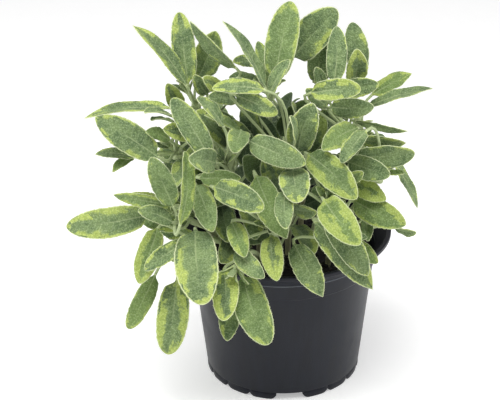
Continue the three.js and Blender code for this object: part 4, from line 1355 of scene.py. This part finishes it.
def mould_pot(material):
    points, faces = lathe(rounded(pot_outline()), POT_SIDES)
    pitch = 2 * math.pi / FOOT_PLACES
    for place in range(FOOT_PLACES):
        if place % WIDE_GAP_EVERY:
            rings = pot_foot(FIRST_GAP_ANGLE + place * pitch, pitch * FOOT_SPREAD)
            faces += loft_faces(rings.shape[0], rings.shape[1], len(points))
            points += [tuple(point) for point in rings.reshape(-1, 3)]
    pot = make_piece("nursery_pot", points, faces, material)
    drill = drill_rods(FIRST_GAP_ANGLE, pitch)
    cut = pot.modifiers.new("drain holes", "BOOLEAN")
    cut.object = drill
    cut.solver = "EXACT"
    bpy.context.view_layer.update()
    shape = bpy.data.meshes.new_from_object(pot.evaluated_get(bpy.context.evaluated_depsgraph_get()))
    pot.modifiers.clear()
    pot.data = shape
    bpy.data.objects.remove(drill)
    return pot


def drill_rods(first_angle, pitch):
    """The rods cut out of the floor, one in line with each wide gap and one halfway between two."""
    points = []
    faces = []
    around = np.arange(DRAIN_HOLE_SIDES) * 2 * math.pi / DRAIN_HOLE_SIDES
    for place in range(0, FOOT_PLACES, WIDE_GAP_EVERY // 2):
        turn = first_angle + place * pitch
        x = DRAIN_HOLE_RING * math.cos(turn)
        y = DRAIN_HOLE_RING * math.sin(turn)
        first = len(points)
        for height in (FOOT_HEIGHT - DRILL_PAST, FLOOR_TOP + DRILL_PAST):
            for a in around:
                edge = (x + DRAIN_HOLE_RADIUS * math.cos(a), y + DRAIN_HOLE_RADIUS * math.sin(a))
                points.append((*edge, height))
        faces += loft_faces(2, DRAIN_HOLE_SIDES, first)
    return make_piece("drill", points, faces, bpy.data.materials.new("drill"))


# %% [markdown]
# ## Black plastic
# Nursery plastic is recycled and not quite black. It is satin, with faint flow streaks up the wall and
# a fine orange-peel skin, and dust dulls it in patches. Roughness carries most of that. A thin pale line
# of painted highlight runs round the pot along the bead at the collar's foot.

# %% The plastic and the pot
HIGHLIGHT_LINE_DROP = 0.4
HIGHLIGHT_LINE_HALF = (0.5, 0.9)
FLOW_SCALE = 160.0
DUST_SCALE = 28.0
SKIN_SCALE = 900.0


def plastic_material():
    sheet = Sheet("black plastic")
    place = sheet.place()
    streak = sheet.put("Mapping", None, {"Vector": place, "Scale": (1.0, 1.0, 0.08)})
    flow = sheet.noise(streak, FLOW_SCALE, 3.0)
    dust = sheet.noise(place, DUST_SCALE, 4.0, 0.6)
    skin = sheet.noise(place, SKIN_SCALE, 2.0)
    colour = sheet.mix(flow.between(0.3, 0.7), paint(9, 12, 22), paint(15, 19, 30))
    colour = sheet.mix(dust.between(0.5, 0.8) * 0.3, colour, paint(32, 38, 47))
    height = sheet.put("SeparateXYZ", None, {"Vector": place}, "Z") * (1 / METRE)
    # Painted highlight: a thin pale line round the pot along the bead at the collar's foot.
    painted_highlight = 1 - (height - (COLLAR_FOOT_HEIGHT - HIGHLIGHT_LINE_DROP)).size().between(*HIGHLIGHT_LINE_HALF)
    colour = sheet.mix(painted_highlight * (0.6 + flow * 0.5), colour, paint(84, 88, 94))
    return sheet.finish(
        Base_Color=colour,
        Roughness=0.36 + flow * 0.1 + dust.between(0.4, 0.8) * 0.14,
        Normal=sheet.bump(skin + flow * 0.6, 0.0003, 0.25),
        Specular_IOR_Level=0.27,
    )


pot = mould_pot(plastic_material())
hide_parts("pot")
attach(pot, "root")
print("pot faces:", len(pot.data.polygons))

# %% [markdown]
# ## Potting soil
# Peat and bark settle into a lumpy surface a finger's breadth below the lip. We turn a fine disc, raise it
# by the frame's own two waves plus finer ones, and close it below as a plug that fills the pot. Crumbs
# and bark chips are small flattened pebbles that lie half sunk.

# %% Soil
SOIL_DOME = 5.0
SOIL_GAP = 0.35
SOIL_SLACK = 0.35
SOIL_SIDES = 120
SOIL_RINGS = 44
SOIL_SEED = 77
CRUMBS = 520
CRUMB_MARGIN = 6
CRUMB_SIZE = (0.7, 2.6)
CRUMB_SHAPE = ((0.6, 1.5), (0.5, 1.0), (0.35, 0.7))
CRUMB_SIDES = 7
CRUMB_ROWS = 6
CRUMB_END = 1.45
CRUMB_ROUGHNESS = 0.12
CRUMB_LIFT = 0.15


def soil_top(x, y):
    out = np.minimum(1, np.hypot(x, y) / COLLAR_FOOT_RADIUS)
    lumps = 1.1 * np.sin(x * 0.21 + 1.3) * np.cos(y * 0.19) + 0.7 * np.sin(x * 0.13 - y * 0.34)
    return SOIL_HEIGHT + SOIL_DOME * (1 - out * out) + lumps * (1 - out ** 6)


def fine_lumps(x, y):
    return (0.5 * np.sin(x * 0.9 + 2 * np.sin(y * 0.5)) * np.sin(y * 1.1 + 1)
            + 0.3 * np.sin(x * 2.3 + y * 1.1) * np.cos(y * 2.9 - x * 0.7))


def crumb(draw):
    """A bark chip or peat crumb: a small uneven pebble lying on the soil."""
    angle = draw.uniform(0, 2 * np.pi)
    out = (wall_radius(STEP_HEIGHT) - CRUMB_MARGIN) * math.sqrt(draw.uniform())
    x = out * math.cos(angle)
    y = out * math.sin(angle)
    size = draw.uniform(*CRUMB_SIZE)
    squash = np.array([draw.uniform(*span) for span in CRUMB_SHAPE]) * size
    spin = draw.uniform(0, 2 * np.pi)
    middle = np.array([x, y, soil_top(x, y) + fine_lumps(x, y) + CRUMB_LIFT * size])
    turn = np.arange(CRUMB_SIDES) * 2 * np.pi / CRUMB_SIDES
    rings = []
    for rise in np.linspace(-CRUMB_END, CRUMB_END, CRUMB_ROWS):
        reach = math.cos(rise) * (1 + draw.normal(0, CRUMB_ROUGHNESS, CRUMB_SIDES))
        long = reach * np.cos(turn) * squash[0]
        wide = reach * np.sin(turn) * squash[1]
        tall = np.full(CRUMB_SIDES, math.sin(rise) * squash[2])
        swung = [
            long * math.cos(spin) - wide * math.sin(spin),
            long * math.sin(spin) + wide * math.cos(spin),
            tall,
        ]
        rings.append(np.stack(swung, 1) + middle)
    return np.array(rings)


def soil_material():
    sheet = Sheet("potting soil")
    place = sheet.place()
    grain = sheet.noise(place, 420.0, 4.0, 0.65)
    clods = sheet.noise(place, 90.0, 2.0)
    shade = sheet.stored("shade")
    colour = sheet.mix(grain.between(0.35, 0.65), paint(12, 11, 11), paint(32, 28, 25))
    colour = sheet.mix(clods.between(0.4, 0.7) * 0.4, colour, paint(30, 27, 25))
    colour = sheet.mix(shade * 0.5, colour, paint(60, 52, 43))
    return sheet.finish(Base_Color=colour, Roughness=0.92, Normal=sheet.bump(grain, 0.0012, 0.6))


def pour_soil():
    bottom = FLOOR_TOP + SOIL_GAP
    rim = inside_radius(STEP_HEIGHT) - SOIL_GAP - SOIL_SLACK
    foot = inside_radius(bottom) - SOIL_GAP - SOIL_SLACK
    outline = [(0.0, bottom), (foot, bottom), (rim, STEP_HEIGHT), (rim, SOIL_HEIGHT - 1)]
    outline += [(rim * (1 - share), SOIL_HEIGHT) for share in np.linspace(0.01, 1, SOIL_RINGS)]
    points, faces = lathe(np.array(outline), SOIL_SIDES)
    points = np.array(points)
    top = points[:, 2] > STEP_HEIGHT + 0.01
    x = points[top, 0]
    y = points[top, 1]
    points[top, 2] = soil_top(x, y) + fine_lumps(x, y) * (1 - np.minimum(1, np.hypot(x, y) / rim) ** 8)
    draw = np.random.default_rng(SOIL_SEED)
    shade = [np.zeros(len(points))]
    points = [points]
    for _ in range(CRUMBS):
        rings = crumb(draw)
        faces += loft_faces(rings.shape[0], rings.shape[1], sum(len(group) for group in points))
        points.append(rings.reshape(-1, 3))
        shade.append(np.full(rings.shape[0] * rings.shape[1], draw.uniform() ** 3))
    values = {"shade": np.concatenate(shade)}
    return make_piece("soil_fill", np.concatenate(points), faces, soil_material(), values)


soil = pour_soil()
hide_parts("soil")
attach(soil, "root")
print("soil faces:", len(soil.data.polygons))

# %% [markdown]
# ## Floor and light
# The plant stands on a plain pale floor under soft studio light. Two tall lamps at the sides draw the
# light lines along the pot's edges, a wide one overhead and in front lights the leaves, and the world
# fills the shadows.

# %% Studio
FLOOR_REACH = 9000
FLOOR_GLOW = 0.36
WORLD_STRENGTH = 0.45
LAMP_AIM = np.array([0, 0, 0.15])
LAMPS = [  # name, place from the aim in metres, width and height in metres, watts
    ("overhead", (-0.2, -0.45, 1.1), (0.8, 0.6), 11.5),
    ("left", (-1.0, -0.15, 0.15), (0.3, 1.0), 3.4),
    ("right", (1.0, -0.1, 0.15), (0.3, 1.0), 4.4),
]


def add_floor():
    sheet = Sheet("pale floor")
    grain = sheet.noise(sheet.place(), 60.0, 3.0)
    material = sheet.finish(
        Base_Color=sheet.mix(grain, paint(243, 243, 243), paint(249, 249, 249)),
        Roughness=0.8,
        Emission_Color=(1, 1, 1, 1),
        Emission_Strength=FLOOR_GLOW,
    )
    corners = [(x * FLOOR_REACH, y * FLOOR_REACH, 0) for x, y in ((-1, -1), (1, -1), (1, 1), (-1, 1))]
    floor = make_piece("floor", corners, [(0, 1, 2, 3)], material)


def add_lamp(name, place, size, power):
    """An area lamp that faces the middle of the bush."""
    data = bpy.data.lights.new(name, "AREA")
    data.shape = "RECTANGLE"
    data.size, data.size_y = size
    data.energy = power
    lamp = bpy.data.objects.new(name, data)
    middle = pot_axis + LAMP_AIM
    lamp.location = middle + np.array(place)
    aim = -np.array(place) / np.linalg.norm(place)
    flat = math.hypot(aim[0], aim[1])
    lamp.rotation_euler = (math.atan2(flat, -aim[2]), 0, math.atan2(-aim[0], aim[1]))
    bpy.context.scene.collection.objects.link(lamp)


def add_world():
    world = bpy.data.worlds.new("studio")
    world.use_nodes = True
    background = world.node_tree.nodes["Background"]
    background.inputs["Color"].default_value = (1, 1, 1, 1)
    background.inputs["Strength"].default_value = WORLD_STRENGTH
    bpy.context.scene.world = world


add_floor()
add_world()
for lamp in LAMPS:
    add_lamp(*lamp)
bpy.context.scene.view_settings.view_transform = "Standard"
print("lamps:", [lamp.name for lamp in bpy.data.lights])
